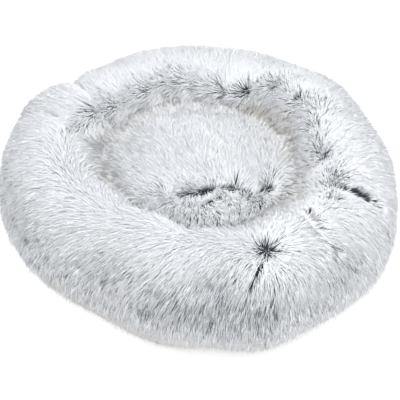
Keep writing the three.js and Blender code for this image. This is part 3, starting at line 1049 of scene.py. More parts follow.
@dataclass
class Comb:
    """How the pile lies at each vertex of a skin, as it is worked out. Its lift is in degrees."""

    points: Array
    normals: Array
    way: Array
    lift: Array
    length: Array
    grey: Array
    cover: Array
    pull: Array
    sway: Array
    # How often a hair takes the warm tip: painted shade in the grooves, painted bounce light at the
    # foot.
    warm: Array

    def flattened(self, vectors: Array) -> Array:
        """Return vectors laid into the surface."""
        return vectors - self.normals * (vectors * self.normals).sum(axis=1, keepdims=True)

    def near(self, place: Array, reach: float) -> Array:
        """Return how near each vertex is to a point, from 0 to 1."""
        return bump(lengths(self.points - place), reach)

    def part_from(self, offset: Array, spread: float, strength: float) -> Array:
        """Comb the pile away from a point or a line.

        Args:
            offset: The vector from it to each vertex.
            spread: How far it reaches.
            strength: How much it outweighs the lie that is there.

        Returns:
            How near each vertex is to it, from 0 to 1.
        """
        near = bump(lengths(offset), spread)
        self.way += unit(self.flattened(offset)) * (strength * near)[:, None]
        return near

    def turned(self, degrees: Array) -> None:
        """Turn the lie aside by an angle at each vertex."""
        a = np.radians(degrees)[:, None]
        self.way = self.way * np.cos(a) + np.cross(self.normals, self.way) * np.sin(a)

    def whorl(self, centre: Array, onward: Array, reach: float, strength: float) -> Array:
        """Comb the pile away from a point, with the hairs in its middle lying onward.

        Args:
            centre: The point.
            onward: A point that the hairs in the middle lie towards.
            reach: How far the whorl reaches.
            strength: How much it outweighs the lie that is there.

        Returns:
            How near each vertex is to it, from 0 to 1.
        """
        near = self.near(centre, reach)
        middle = self.near(centre, min(0.006, 0.4 * reach))
        away = unit(self.flattened(self.points - centre))
        self.way += away * (strength * near * (1 - middle))[:, None]
        self.way += unit(onward - centre) * (strength * middle)[:, None]
        return near

    def stand_where_weak(self, share: Array) -> None:
        """Let the pile stand up, shorter, where no way of lying outweighs the others."""
        weak = bump(lengths(self.flattened(self.way)), 0.5) * share
        self.lift += 48 * weak
        self.length *= 1 - 0.38 * weak

    def finish(self, mesh: Mesh) -> None:
        """Store the comb on the skin."""
        layers = {
            "comb": unit(self.flattened(self.way)),
            "outward": self.normals,
            "lift": np.radians(self.lift),
            "length": self.length,
            "grey": np.clip(self.grey, 0.02, 0.95),
            "cover": np.clip(self.cover, 0, 1),
            "pull": np.clip(self.pull, 0, 0.9),
            "sway": self.sway,
            "warm": self.warm,
        }
        for name, values in layers.items():
            put(mesh, name, values)


def mark_sectors(mesh: Mesh, sectors: int) -> None:
    """Mark each face with the sector of the bed that it lies in, counted round from +X."""
    middles = np.empty(len(mesh.polygons) * 3, dtype=np.float32)
    mesh.polygons.foreach_get("center", middles)
    middles = middles.reshape(-1, 3)
    turn = np.arctan2(middles[:, 1], middles[:, 0]) % (2 * math.pi)
    layer = mesh.attributes.new("sector", "INT", "FACE")
    layer.data.foreach_set("value", (turn * sectors / (2 * math.pi)).astype(np.int32))


def finish_padded(made: Object, nodes: tuple[str, ...]) -> None:
    """Attach a padded piece to the bed, and hide the solids it stands for.

    Args:
        made: The piece.
        nodes: The solids that it replaces.
    """
    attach(made, BODY)
    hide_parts(*nodes)
    LOG.info("%s: %d faces", made.name, len(made.data.polygons))


class Plush:
    """What the two plush pieces share: a padded skin with its pile, and a lined filling inside."""

    name: str
    fill: float
    pile: Pile
    sectors: tuple[str, ...]
    inner_depths: tuple[float, float]
    inner_grid: tuple[int, int]

    def build(self, stock: Stock) -> None:
        """Make the skin, its pile, the liner and the filling."""
        skin = self.skin()
        combed = refined(skin, 2)
        self.comb(combed.data)
        mark_sectors(combed.data, len(self.sectors))
        for sector, side in enumerate(self.sectors):
            self.pile.grow(f"{self.name}_pile_{side}", combed.data, sector, stock)
        bpy.data.objects.remove(combed)
        skin.data.materials.append(stock.backing)
        finish_padded(skin, (f"{self.name}_cover",))
        layers = (("liner", stock.liner), ("filling", stock.fibre))
        for (layer, material), depth in zip(layers, self.inner_depths):
            node = f"{self.name}_{layer}"
            inner = self.shell(f"{node}_soft", depth, *self.inner_grid)
            inner.data.materials.append(material)
            finish_padded(inner, (node,))


@dataclass(frozen=True)
class Patch:
    """A patch of the ring's skin: its azimuth and its angle round the section, how far it reaches
    each way, and how strongly it takes effect."""

    azimuth: float
    spread: float
    angle: float
    reach: float
    strength: float = 1.0

    def over(self, azimuth: Array, angle: Array) -> Array:
        """Return its effect at each place."""
        round_bed = bump(turn_between(azimuth, self.azimuth), self.spread)
        return self.strength * round_bed * bump(angle - self.angle, self.reach)


@dataclass(frozen=True)
class Crease:
    """A line that the pile parts from: its route on the ring, its spread, strength and greyness."""

    route: Route
    spread: float
    strength: float
    grey: float


def along_ring(azimuth: Array, *stretches: tuple[float, float, float]) -> Array:
    """Return the sum of stretches of the ring at each azimuth, from 0 to 1."""
    shares = (share * bump(turn_between(azimuth, at), spread) for at, spread, share in stretches)
    return np.clip(sum(shares), 0, 1)


@dataclass
class Bolster(Plush):
    """The ring: its plush skin and pile, and the lined filling inside."""

    form: RingForm
    name: str = "bolster"
    fill: float = 0.85
    pile: Pile = field(default_factory=lambda: Pile(hairs=550000, lock_spacing=0.0032))
    hair_length: float = 0.034
    sectors: tuple[str, ...] = tuple("123456789")
    pile_depth: float = 0.014
    inner_depths: tuple[float, float] = (0.0205, 0.0222)
    inner_grid: tuple[int, int] = (96, 30)
    around: int = 180
    over: int = 42
    under: int = 5
    parting: Route = (
        (10, 128), (22, 122), (29, 102), (38, 115), (46, 117), (53, 104), (61, 120), (68, 134),
        (75, 147), (85, 144), (93, 137), (104, 128), (117, 126), (126, 136), (142, 141),
        (150, 141), (157, 136), (166, 127), (176, 117), (190, 108), (205, 104), (225, 104),
        (245, 104), (265, 104), (280, 98), (293, 92), (302, 96), (311, 100), (320, 108),
        (330, 114), (342, 118), (354, 128),
    )
    opened: Stretches = (
        (147, 5, 0.4), (126, 3, 0.3), (117, 3, 0.2), (93, 4, 0.45), (81, 5, 0.8), (72, 3, 0.45),
        (64, 4, 0.6), (53, 4, 0.5), (46, 3, 0.3), (38, 4, 0.25), (22, 4, 0.2),
    )
    tousled: Stretches = (
        (314, 11, 0.8), (332, 12, 0.9), (350, 10, 0.8), (6, 9, 0.5), (23, 10, 0.5), (40, 10, 0.5),
        (62, 9, 0.4), (114, 14, 0.3),
    )
    whorls: tuple[tuple[float, float, float], ...] = (
        (21, 120, 0.3), (331, 106, 0.2), (313, 92, 0.3), (38, 116, 0.3), (53, 112, 0.4),
        (68, 136, 0.5), (79, 146, 0.6),
    )
    creases: tuple[Crease, ...] = (
        Crease(((290.8, 82), (289.5, 76), (286.5, 64)), 0.004, 0.55, 0.06),
        Crease(((291.5, 60), (291, 50), (291.5, 42)), 0.0035, 0.3, 0.04),
        Crease(((284.5, 42), (284, 34), (283, 26), (282.5, 20)), 0.0035, 0.25, 0.06),
        Crease(((247, 101), (244, 101)), 0.003, 0.2, 0.06),
        Crease(((314, 104), (311.5, 90), (310, 70)), 0.012, 0.5, 0.08),
    )
    fold_sides: tuple[Crease, ...] = (
        Crease(((176, 56), (179, 90), (180, 102)), 0.008, 0.2, 0.03),
        Crease(((151, 50), (156, 90), (158, 104)), 0.008, 0.2, 0.03),
    )
    slit_tail: Crease = Crease(((336.2, 70), (334, 58), (331, 46)), 0.006, 0.35, 0.04)
    slit: Route = ((337.2, 88), (337, 83), (336.6, 76.5))
    slit_lead: Route = ((337.5, 97), (337.2, 91), (336.6, 76), (336.2, 66))
    above_slit: Route = ((337.8, 103),)
    slit_half_width: float = 0.0018
    star: Route = ((293, 93),)
    below_star: Route = ((290, 70),)
    star_reach: float = 0.065
    core_reach: float = 0.014
    whorl_reach: float = 0.016
    fold: Patch = Patch(171, 15, 119, 25)
    front: Patch = Patch(280, 42, 52, 32)
    smooth: Patch = Patch(228, 46, 105, 26)
    lip: Patch = Patch(290, 20, 122, 26)
    sweeps: tuple[Patch, ...] = (
        Patch(255, 32, 112, 26, 0.8),
        Patch(256, 28, 64, 32, 0.6),
        Patch(303, 8, 98, 26, -1.7),
    )
    greys: tuple[Patch, ...] = (
        Patch(45, 42, 68, 36, 0.34),
        Patch(95, 50, 84, 26, 0.16),
        Patch(24, 26, 116, 20, 0.1),
        Patch(180, 34, 110, 36, -0.1),
        # A greyer left outer side: painted shade where less light falls.
        Patch(195, 40, 50, 36, 0.24),
    )

    def shell(self, name: str, depth: float, around: int, over: int) -> Object:
        """Make the closed ring surface that lies a given depth inside the pile's tips."""
        azimuth = np.arange(around) * 360.0 / around
        share = np.linspace(0, 1, over)
        hem = self.form.section(azimuth, depth)[3][:, None]
        angle = hem + (180 - 2 * hem) * share
        line = self.form.point(azimuth[:, None] + 0 * angle, angle, depth)
        steps = np.linspace(0, 1, self.under + 2)[1:-1][None, :, None]
        bottom = line[:, -1:] + (line[:, :1] - line[:, -1:]) * steps
        bottom_angle = np.where(steps[..., 0] < 0.5, 240.0, -60.0)
        bottom_angle = np.broadcast_to(bottom_angle, bottom.shape[:2])
        rows = over + self.under
        points = np.concatenate([line, bottom], axis=1).reshape(-1, 3)
        made = mesh_object(name, points, grid_faces(around, rows, looped=True))
        put(made.data, "section_angle", np.concatenate([angle, bottom_angle], axis=1).ravel())
        grid_uvs(made.data, around, rows)
        return made

    def skin(self) -> Object:
        """Make the padded skin: swollen between its hems, its gathers and its pulled points."""
        made = self.shell("bolster_skin", self.pile_depth, self.around, self.over)
        points, _ = places(made.data)
        angle = got(made.data, "section_angle")
        azimuth = azimuths(points)
        held = np.where(angle > 260, 1.0, 0.0)
        held = np.maximum(held, bump(angle + 48, 9) + bump(angle - 228, 9))
        for gather in self.form.gathers:
            patch = Patch(gather, 3, self.form.gather_angle, 30)
            held = np.maximum(held, patch.over(azimuth, angle))
        for tuft in self.form.tufts:
            away = points - self.on_ring(((tuft.azimuth, tuft.angle),))
            held = np.maximum(held, bump(lengths(away), 0.012))
        swollen(made, np.clip(held, 0, 1), pressure=4.0, most=0.005)
        return made

    def on_ring(self, route: Route) -> Array:
        """Return the skin's points along a route of azimuths and section angles."""
        turns = np.array(route, dtype=float)
        return self.form.point(turns[:, 0], turns[:, 1], self.pile_depth)

    def comb(self, mesh: Mesh) -> None:
        """Comb the pile: out and down outside, in and down inside, from an uneven parting."""
        points, normals = places(mesh)
        angle = got(mesh, "section_angle")
        azimuth = azimuths(points)
        a = np.radians(azimuth)
        before, after = (self.form.point(azimuth, angle + step, 0.0) for step in (-2.0, 2.0))
        onward = unit(after - before)
        outward = np.stack([np.cos(a), np.sin(a), 0 * a], axis=-1)
        along = np.stack([-np.sin(a), np.cos(a), 0 * a], axis=-1)
        down = np.array([0.0, 0.0, -1.0])
        opened = along_ring(azimuth, *self.opened)
        rough = along_ring(azimuth, *self.tousled)
        patches = (self.fold, self.front, self.smooth, self.lip)
        fold, front, smooth, lip = (patch.over(azimuth, angle) for patch in patches)

        line = np.array(self.parting)
        parted = np.interp(azimuth, line[:, 0], line[:, 1], period=360)
        parted = parted + 3 * SoftNoise(0.07, 4).at(points)
        calm = along_ring(azimuth, (158, 22, 1))
        side = np.tanh((angle - parted) / (13 + 16 * rough + 14 * calm))
        crest = 1 - side**2
        tousled = rough * bump(angle - 124, 44)
        inner = np.maximum(parted + 8, 126)
        inside = ramp(angle, inner, inner + 22)
        low = ramp(angle, 143, 169)
        hang = ramp(angle, 32, -8)
        tucked = ramp(angle, 12, -18)
        steady = 0.3 + 0.7 * ramp(angle, 15, 65)
        leftwards = np.tanh(2.6 * np.sin(np.radians(azimuth - 8)))
        aside = 0.8 * crest * (1 - opened) * (1 - rough)
        aside += along_ring(azimuth, (135, 32, 0.9)) * (angle > parted)
        aside += sum(sweep.over(azimuth, angle) for sweep in self.sweeps)
        broad = SoftNoise(0.16, 3).at(points)
        fine = SoftNoise(0.045, 5).at(points)
        tuft = SoftNoise(0.02, 13).at(points) * (1 - 0.8 * bump(angle - 95, 26))

        leaning = (14 + 36 * np.cos(a) ** 2) * low
        longer = (1 + 0.08 * broad) * (1 - 0.42 * tousled) * (1 + 0.45 * low - 0.3 * lip)
        comb = Comb(
            points,
            normals,
            way=onward * side[:, None] + along * (aside * leftwards)[:, None],
            lift=18 + 18 * tousled + 6 * crest * opened + 8 * inside + leaning - 8 * lip,
            length=self.hair_length * longer,
            grey=np.full(len(points), 0.1),
            cover=np.where((angle > 190) | (normals[:, 2] < -0.8), 0.0, 1.0),
            pull=0.16 + 0.18 * inside * (1 - tousled) + 0.36 * tousled + 0.14 * low,
            sway=0.2 + 0.9 * tousled + 0.34 * inside + 0.3 * low,
            # Warm tips on the inner wall and in the groove: painted shade.
            warm=inside * (0.25 + along_ring(azimuth, (62, 38, 0.45))),
        )
        comb.way = comb.way * (1 - hang)[:, None] + (down + 0.15 * outward) * hang[:, None]
        comb.way = comb.flattened(comb.way)
        comb.turned((9 * broad + 4 * fine) * steady + 22 * tousled * SoftNoise(0.016, 8).at(points))
        comb.way += outward * (0.5 * fold)[:, None]
        comb.lift += 4 * hang - 12 * tucked + 0.6 * tuft
        comb.length *= (1 - 0.5 * tucked) * (1 + 0.05 * tuft)
        comb.pull = (comb.pull + 0.14 * front - 0.1 * smooth) * (1 - 0.7 * fold)
        comb.sway *= 1 - 0.5 * smooth
        # Warm tips low on the front outer side: painted bounce light.
        comb.warm += along_ring(azimuth, (262, 50, 0.4)) * ramp(angle, 24, -6)

        comb.grey += (0.06 * broad + 0.08 * SoftNoise(0.05, 6).at(points)) * steady
        # Where the parting opens its roots show grey on the crest; the band just inside it is
        # greyed as painted shade under the parted hair.
        comb.grey += opened * (0.04 * crest + 0.07 * bump(angle - parted - 7, 10))
        comb.grey += 0.16 * tousled * (0.8 + SoftNoise(0.006, 12).at(points)) - 0.02 * crest * rough
        # Painted shade: the hair greyer low on the outer side. Painted light: the hair paler in the
        # fold, against its shade.
        comb.grey += 0.26 * ramp(angle, 84, 44) + 0.3 * front - 0.12 * smooth - 0.14 * fold
        comb.grey += 0.2 * inside * SoftNoise(0.009, 9).at(points)
        # Paler hair low in the groove on the left: painted light against the groove's shade.
        comb.grey -= low * along_ring(azimuth, (180, 40, 0.1))
        comb.grey += sum(grey.over(azimuth, angle) for grey in self.greys)

        self.comb_star(comb)
        self.comb_creases(comb, self.creases)
        self.comb_slit(comb)
        for turn, over, strength in self.whorls:
            middle, outer = self.on_ring(((turn, over),)), self.on_ring(((turn, over - 20),))
            near = comb.whorl(middle, outer, self.whorl_reach, strength)
            comb.lift += 16 * near
            comb.grey += 0.03 * near
        comb.length *= 1 - 0.3 * self.comb_creases(comb, self.fold_sides)
        comb.stand_where_weak((1 - opened) * (1 - fold))
        comb.finish(mesh)

    def comb_creases(self, comb: Comb, creases: tuple[Crease, ...]) -> Array:
        """Part the pile along creases, and return how near each vertex is to one, from 0 to 1."""
        most = np.zeros(len(comb.points))
        for crease in creases:
            offset = from_path(comb.points, self.on_ring(crease.route))
            near = comb.part_from(offset, crease.spread, crease.strength)
            comb.grey += crease.grey * near
            most = np.maximum(most, near)
        return most

    def comb_star(self, comb: Comb) -> None:
        """Comb the pulled star on the front: away from its core, which is short and grey."""
        star = self.on_ring(self.star)
        comb.whorl(star, self.on_ring(self.below_star), self.star_reach, 0.9)
        core = comb.near(star, self.core_reach)
        comb.grey += core * (0.22 + 0.1 * SoftNoise(0.006, 11).at(comb.points))
        comb.lift += 7 * core
        comb.length *= 1 - 0.36 * core

    def comb_slit(self, comb: Comb) -> None:
        """Comb the slit at the right: bare in its middle, with the pile beside it straight."""
        offset = from_path(comb.points, self.on_ring(self.slit_lead))
        comb.part_from(offset, 0.011, 0.6)
        beside = bump(lengths(offset), 0.018)
        comb.sway *= 1 - 0.8 * beside
        comb.pull *= 1 - 0.8 * beside
        comb.length *= 1 - 0.6 * comb.near(self.on_ring(self.above_slit), 0.015)
        slit = self.on_ring(self.slit)
        offset = from_path(comb.points, slit)
        near = comb.part_from(offset, 0.006, 3.0)
        comb.length *= 1 - 0.3 * near
        comb.lift -= 8 * near
        comb.grey += 0.1 * near
        bare = self.slit_half_width + 0.0022 * comb.near(slit[0], 0.02)
        comb.cover *= ramp(lengths(offset), bare, bare + 0.0012)
        self.comb_creases(comb, (self.slit_tail,))


@dataclass
class Pad(Plush):
    """The pad inside the ring: its plush skin and pile, and the lined filling inside."""

    form: PadForm
    name: str = "cushion"
    fill: float = 0.7
    pile: Pile = field(default_factory=lambda: Pile(hairs=540000, lock_spacing=0.0034))
    hair_length: float = 0.027
    sectors: tuple[str, ...] = ("back", "front")
    pile_depth: float = 0.012
    inner_depths: tuple[float, float] = (0.0165, 0.0182)
    inner_grid: tuple[int, int] = (64, 20)
    around: int = 120
    up: int = 34
    under: int = 7
    rim_starts: float = 0.105
    rim_ends: float = 0.14

    def shell(self, name: str, depth: float, around: int, up: int) -> Object:
        """Make the closed pad surface that lies a given depth inside the pile's tips."""
        azimuth = np.arange(around) * 360.0 / around
        share = np.linspace(-1, 1, up)
        angle = 90 * np.sign(share) * np.abs(share) ** 0.9
        angle = np.broadcast_to(angle, (around, up))[:, :-1]
        line = self.form.point(azimuth[:, None] + 0 * angle, angle, depth)
        steps = np.linspace(0, 1, self.under + 1)[1:][None, :, None]
        foot = line[:, :1] * (steps * np.array([1, 1, 0]) + np.array([0, 0, 1]))
        points = np.concatenate([foot[:, :-1], line], axis=1)
        rows = points.shape[1]
        crown = self.form.point(np.array([0.0]), np.array([90.0]), depth)
        sole = np.array([[0.0, 0.0, line[0, 0, 2]]])
        body = grid_faces(around, rows, looped=False)
        count = around * rows
        caps = []
        for i in range(around):
            after = (i + 1) % around
            caps.append((i * rows + rows - 1, after * rows + rows - 1, count))
            caps.append((after * rows, i * rows, count + 1))
        made = mesh_object(name, np.concatenate([points.reshape(-1, 3), crown, sole]), body + caps)
        below = np.full((around, self.under - 1), -90.0)
        angles = np.concatenate([below, angle], axis=1).ravel()
        put(made.data, "section_angle", np.concatenate([angles, [90.0, -90.0]]))
        return made

    def skin(self) -> Object:
        """Make the padded skin: swollen between its rim seam and its crease."""
        made = self.shell("cushion_skin", self.pile_depth, self.around, self.up)
        points, _ = places(made.data)
        angle = got(made.data, "section_angle")
        held = np.where(angle < -20, 1.0, 0.0)
        away = lengths(from_path(points[:, :2], np.array(self.form.crease)))
        held = np.maximum(held, bump(away, 0.006) * (angle > 0))
        swollen(made, np.clip(held, 0, 1), pressure=3.0, most=0.006)
        return made

    def comb(self, mesh: Mesh) -> None:
        """Comb the pile: away from the crease and out over the rim, tousled in front of the crease,
        in a fan to the left, straight at the front right, and upright where the crease is shut."""
        points, normals = places(mesh)
        angle = got(mesh, "section_angle")
        x, y = points[:, 0], points[:, 1]
        radius = np.hypot(x, y)
        plan = points[:, :2]
        offset = from_path(plan, np.array(self.form.parting))
        distance = lengths(offset)
        from_hub = plan - np.array(self.form.hub)
        away, outward, fan = (np.column_stack([way, 0 * x]) for way in (offset, plan, from_hub))
        forwards = np.array([0.0, -1.0, 0.0])

        rim = ramp(radius, self.rim_starts, self.rim_ends)
        far = ramp(y, -0.07, 0.03)
        straight = lengths(from_path(plan, np.array(self.form.straight)))
        straight = np.clip(1.7 * bump(straight, self.form.straight_reach), 0, 1)
        ahead = ramp(offset[:, 1], -0.004, -0.016) * ramp(distance, 0.115, 0.085)
        tousled = ahead * (1 - rim) * (1 - straight) * ramp(x, -0.03, 0.01)
        left = ramp(x, 0.03, -0.02) * (1 - rim)
        dark = sum(share * bump(x - at, reach) for at, reach, share in self.form.dark_stretches)
        shut = (1 - np.clip(1.2 * dark, 0, 1)) * bump(distance, 0.012)
        lying = bump(distance, 0.013) * (1 - shut)

        way = unit(away) * (1 - 0.8 * rim)[:, None] + unit(outward) * (0.2 + rim)[:, None]
        way = way + unit(fan) * left[:, None]
        longer = (1 + 0.45 * rim * far - 0.3 * tousled - 0.3 * straight) * (1 - 0.3 * shut)
        comb = Comb(
            points,
            normals,
            way=way * (1 - straight)[:, None] + forwards * (2 * straight)[:, None],
            lift=20 + (10 + 20 * far) * rim + 12 * tousled - 6 * straight - 9 * lying + 46 * shut,
            length=self.hair_length * longer,
            grey=np.full(len(points), 0.06),
            cover=np.where(angle > -12, 1.0, 0.0),
            pull=(0.22 + 0.2 * tousled) * (1 - 0.8 * straight),
            sway=(0.24 + 0.8 * tousled + 0.5 * shut) * (1 - 0.9 * straight),
            # Warm tips at the back of the rim, by the groove: painted shade.
            warm=0.25 * bump(radius - self.rim_ends, 0.03) * (y > 0),
        )
        comb.way = comb.flattened(comb.way)
        broad, fine = SoftNoise(0.09, 21).at(points), SoftNoise(0.02, 22).at(points)
        comb.turned(14 * broad + (9 + 20 * tousled) * fine)
        comb.grey += 0.07 * SoftNoise(0.06, 23).at(points) + 0.07 * SoftNoise(0.025, 24).at(points)
        comb.grey += 0.16 * (bump(distance, 0.01) + bump(distance, 0.032)) * dark
        comb.grey += 0.26 * straight - 0.02 * tousled
        comb.finish(mesh)


@dataclass(frozen=True)
class Lamp:
    """A round area lamp that shines at the middle of the bed's base."""

    name: str
    place: tuple[float, float, float]
    size: float
    power: float

    def hang(self) -> None:
        """Put the lamp in the scene."""
        data = bpy.data.lights.new(self.name, "AREA")
        data.shape = "DISK"
        data.size = self.size
        data.energy = self.power
        lamp = bpy.data.objects.new(self.name, data)
        lamp.location = self.place
        lamp.rotation_euler = (-Vector(self.place)).to_track_quat("-Z", "Y").to_euler()
        bpy.context.collection.objects.link(lamp)


@dataclass
class Studio:
    """The camera at the photograph's viewing angle, a pale floor and soft light."""

    distance: float = 0.843
    elevation: float = 45.5
    roll: float = 5.96
    focal_px: float = 490.6
    centre_px: tuple[float, float] = (197.3, 202.3)
    picture_px: float = 400.0
    floor_radius: float = 6.0
    floor_glow: float = 0.36
    world_strength: float = 1.12
    lamps: tuple[Lamp, ...] = (
        Lamp("overhead lamp", (-0.3, -0.2, 2.1), 2.2, 28.5),
        Lamp("front lamp", (-0.5, -1.9, 1.7), 1.8, 12.0),
    )

    def camera(self) -> None:
        """Place the camera, looking at the middle of the bed's base."""
        data = bpy.data.cameras.new("camera")
        data.sensor_width = 36.0
        data.lens = self.focal_px / self.picture_px * data.sensor_width
        data.shift_x = (self.picture_px / 2 - self.centre_px[0]) / self.picture_px
        data.shift_y = (self.centre_px[1] - self.picture_px / 2) / self.picture_px
        camera = bpy.data.objects.new("camera", data)
        e = math.radians(self.elevation)
        place = Vector((0, -self.distance * math.cos(e), self.distance * math.sin(e)))
        turn = (-place).to_track_quat("-Z", "Y").to_matrix().to_4x4()
        turn = turn @ Matrix.Rotation(math.radians(self.roll), 4, "Z")
        camera.matrix_world = Matrix.Translation(place) @ turn
        bpy.context.collection.objects.link(camera)
        bpy.context.scene.camera = camera

    def floor(self) -> None:
        """Lay a wide pale floor that looks white to the camera and keeps the bed's shadow.

        It is open under the bed's base, so that a view from below shows the underside.
        """
        base, _ = places(bpy.data.objects["base_cloth_back"].data)
        turn = np.radians(np.arange(0, 360, 5.0))
        circle = np.column_stack([np.cos(turn), np.sin(turn), 0 * turn])
        inner = np.hypot(base[:, 0], base[:, 1]).max() - 0.001
        count = len(turn)
        made = mesh_object(
            "floor",
            np.concatenate([circle * inner, circle * self.floor_radius]),
            [(i, i + count, (i + 1) % count + count, (i + 1) % count) for i in range(count)],
        )
        material, graph, shader = new_material("pale floor")
        matt = {"Base Color": hexed("e6e6e6"), "Roughness": 0.9, "Specular IOR Level": 0.1}
        graph.fill(shader, matt)
        strength = graph.out("ShaderNodeLightPath", "Is Camera Ray") * self.floor_glow
        white = {"Color": (1, 1, 1, 1), "Strength": strength}
        glow = graph.out("ShaderNodeEmission", "Emission", white)
        both = graph.node("ShaderNodeAddShader")
        graph.give(both.inputs[0], Wire(graph, shader.outputs[0]))
        graph.give(both.inputs[1], glow)
        output = material.node_tree.nodes["Material Output"]
        graph.fill(output, {"Surface": Wire(graph, both.outputs[0])})
        made.data.materials.append(material)

    def world(self) -> None:
        """Fill the shadows from a pale world."""
        world = bpy.data.worlds.new("studio")
        world.use_nodes = True
        bpy.context.scene.world = world
        given = {"Color": (1, 1, 1, 1), "Strength": self.world_strength}
        Graph(world.node_tree).fill(world.node_tree.nodes["Background"], given)

    def build(self) -> None:
        """Set up the camera, the floor and the light."""
        self.camera()
        self.floor()
        for lamp in self.lamps:
            lamp.hang()
        self.world()
        bpy.context.scene.view_settings.view_transform = "Standard"


@dataclass
class Repeat:
    """Copies of one small form, set on points of the base: its grip dots or its seams' stitches."""

    name: str
    points: Array
    along: Array
    half_length: float
    half_width: float
    proud: float = 0.0003

    def tree(self) -> NodeTree:
        """Build the Geometry Nodes tree that sets a rounded form on each point, along its seam."""
        sizes = ("Half length", "Half width", "Proud")
        inputs = {"Points": "Geometry", **{size: "Float" for size in sizes}, "Material": "Material"}
        tree = new_group(self.name, "Geometry", inputs, {"Copies": "Geometry"})
        graph = Graph(tree)
        given = graph.outs("NodeGroupInput")
        coarse = {"Segments": 8, "Rings": 4, "Radius": 1.0}
        ball = graph.out("GeometryNodeMeshUVSphere", "Mesh", coarse)
        turn = {"Vector": graph.named("along", VECTOR)}
        turned = graph.out("FunctionNodeAlignRotationToVector", "Rotation", turn, axis="X")
        sizes = {"X": given["Half length"], "Y": given["Half width"], "Z": given["Proud"]}
        scale = graph.out("ShaderNodeCombineXYZ", "Vector", sizes)
        placed = {"Points": given["Points"], "Instance": ball, "Rotation": turned, "Scale": scale}
        instances = graph.out("GeometryNodeInstanceOnPoints", "Instances", placed)
        geometry = graph.out("GeometryNodeRealizeInstances", "Geometry", {"Geometry": instances})
        smooth = graph.out("GeometryNodeSetShadeSmooth", "Geometry", {"Geometry": geometry})
        finished = {"Geometry": smooth, "Material": given["Material"]}
        copies = graph.out("GeometryNodeSetMaterial", "Geometry", finished)
        graph.node("NodeGroupOutput", {"Copies": copies})
        return tree

    def build(self, material: Material) -> None:
        """Make the piece: all the copies in one mesh."""
        made = mesh_object(self.name, self.points, [])
        put(made.data, "along", self.along)
        sizes = {
            "Half length": self.half_length,
            "Half width": self.half_width,
            "Proud": self.proud,
            "Material": material,
        }
        dressed(made, self.tree(), sizes)
        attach(made, BODY)
        LOG.info("%s: %d copies", self.name, len(self.points))


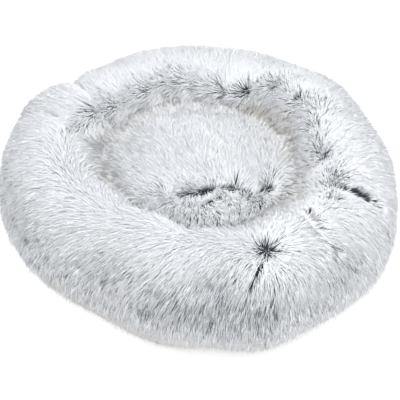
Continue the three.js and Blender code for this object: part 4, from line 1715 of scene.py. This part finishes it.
@dataclass
class Underside:
    """The base cloth and the zip, whose solids get their finishes, with grip dots and stitches."""

    cloth: WovenLook = WovenLook("base cloth", "8f949b", "666b72", Cloth.BASE)
    tape: WovenLook = WovenLook("zip tape", "71767d", "4d5157", Cloth.TAPE, 0.5)
    teeth: HardLook = HardLook("zip teeth", "55595f", "6e7278", 0.0, 0.45)
    metal: HardLook = HardLook("zip metal", "c3c5c8", "a2a4a6", 1.0, 0.35, 0.1)
    rubber: HardLook = HardLook("grip dots", "3d4147", "4a4e54", 0.0, 0.7)
    thread: HardLook = HardLook("seam thread", "b9bdc2", "a4a8ad", 0.0, 0.8)
    dot_pitch: float = 0.013
    dot_radius: float = 0.0024
    edge_margin: float = 0.012
    seam_margin: float = 0.003
    stitch_pitch: float = 0.0052
    stitch_half_length: float = 0.0019
    stitch_half_width: float = 0.0005
    level: float = 1e-5

    def finish_solids(self) -> None:
        """Give each carried-over solid its material."""
        looks = {
            self.cloth: ("base_cloth_front", "base_cloth_back"),
            self.tape: ("zip_tape_front", "zip_tape_back"),
            self.teeth: ("zip_teeth_front", "zip_teeth_back"),
            self.metal: (
                "zip_slider",
                "zip_pull",
                "zip_bottom_stop",
                "zip_top_stop_front",
                "zip_top_stop_back",
            ),
        }
        for look, nodes in looks.items():
            material = look.material()
            for node in nodes:
                bpy.data.objects[node].material_slots[0].material = material
                LOG.info("%s: %s", node, material.name)

    def build(self) -> None:
        """Finish the solids, and add the dots and the stitches to the base's underside."""
        self.finish_solids()
        corners, _ = places(bpy.data.objects["base_cloth_back"].data)
        radius = np.hypot(corners[:, 0], corners[:, 1])
        outer = radius.max()
        flat_from = radius[(corners[:, 2] < self.level) & (radius < 0.9 * outer)].min()
        middle = corners[np.abs(corners[:, 0]) < 0.5 * outer]
        rise = middle[:, 2].min()
        raised_to = radius[np.abs(corners[:, 2] - rise) < self.level].max()
        window = middle[:, 1].min()
        window_end = np.abs(corners[np.abs(corners[:, 1] - window) < self.level][:, 0]).max()
        self.add_dots(outer, flat_from, raised_to, rise, window)
        self.add_stitches(outer, rise, window, window_end)

    def add_dots(
        self, outer: float, flat_from: float, raised_to: float, rise: float, window: float
    ) -> None:
        """Set the grip dots on the level parts of the base.

        Args:
            outer: The base's radius.
            flat_from: Where its lower level starts, as a radius.
            raised_to: Where its raised middle ends, as a radius.
            rise: How high the middle is.
            window: Half the width of the zip's gap.
        """
        rows = np.arange(-outer, outer, self.dot_pitch * math.sqrt(3) / 2)
        grid = [
            (x + (k % 2) * self.dot_pitch / 2, y)
            for k, y in enumerate(rows)
            for x in np.arange(-outer, outer, self.dot_pitch)
        ]
        spots = np.array(grid)
        reach = np.hypot(spots[:, 0], spots[:, 1])
        flat = (reach < raised_to - self.seam_margin) | (reach > flat_from + self.seam_margin)
        clear = np.abs(spots[:, 1]) > window + 3 * self.seam_margin
        spots = spots[(reach < outer - self.edge_margin) & flat & clear]
        height = np.where(np.hypot(spots[:, 0], spots[:, 1]) < raised_to, rise, 0.0)
        along = np.tile([1.0, 0.0, 0.0], (len(spots), 1))
        dots = Repeat(
            "grip_dots", np.column_stack([spots, height]), along, self.dot_radius, self.dot_radius
        )
        dots.build(self.rubber.material())

    def add_stitches(self, outer: float, rise: float, window: float, window_end: float) -> None:
        """Sew the base's rim and both edges of the zip's gap.

        Args:
            outer: The base's radius.
            rise: How high its middle is.
            window: Half the width of the zip's gap.
            window_end: Half the length of the zip's gap.
        """
        steps = np.arange(0, 2 * math.pi, self.stitch_pitch / outer)
        rim = np.column_stack([np.cos(steps), np.sin(steps), 0 * steps])
        along_rim = np.column_stack([-np.sin(steps), np.cos(steps), 0 * steps])
        seams = [((outer - self.seam_margin) * rim, along_rim)]
        run = np.arange(self.stitch_pitch - window_end, window_end, self.stitch_pitch)
        for side in (-1, 1):
            off = side * (window + self.seam_margin)
            seam = np.column_stack([run, 0 * run + off, 0 * run + rise])
            seams.append((seam, np.tile([1.0, 0.0, 0.0], (len(run), 1))))
        points, along = (np.concatenate(part) for part in zip(*seams))
        stitches = Repeat(
            "base_stitches", points, along, self.stitch_half_length, self.stitch_half_width
        )
        stitches.build(self.thread.material())


def main() -> None:
    """Build the cushion from its plush to its base, and then the studio round it."""
    logging.basicConfig(level=logging.INFO, format="%(name)s %(message)s")
    ring = RingForm()
    stock = Stock(
        tree=PileTree().tree,
        hair=one_hair(),
        pile=PileLook("frosted pile").material(),
        backing=BackingLook().material(),
        liner=WovenLook("inner liner", "e8e6e0", "d2d0ca", Cloth.LINER).material(),
        fibre=BackingLook("loose fibre", "e2e2df", "f4f4f2", 420.0).material(),
    )
    Bolster(ring).build(stock)
    Pad(PadForm(ring)).build(stock)
    bpy.data.objects.remove(stock.hair)
    Underside().build()
    Studio().build()


if __name__ == "__main__":
    main()
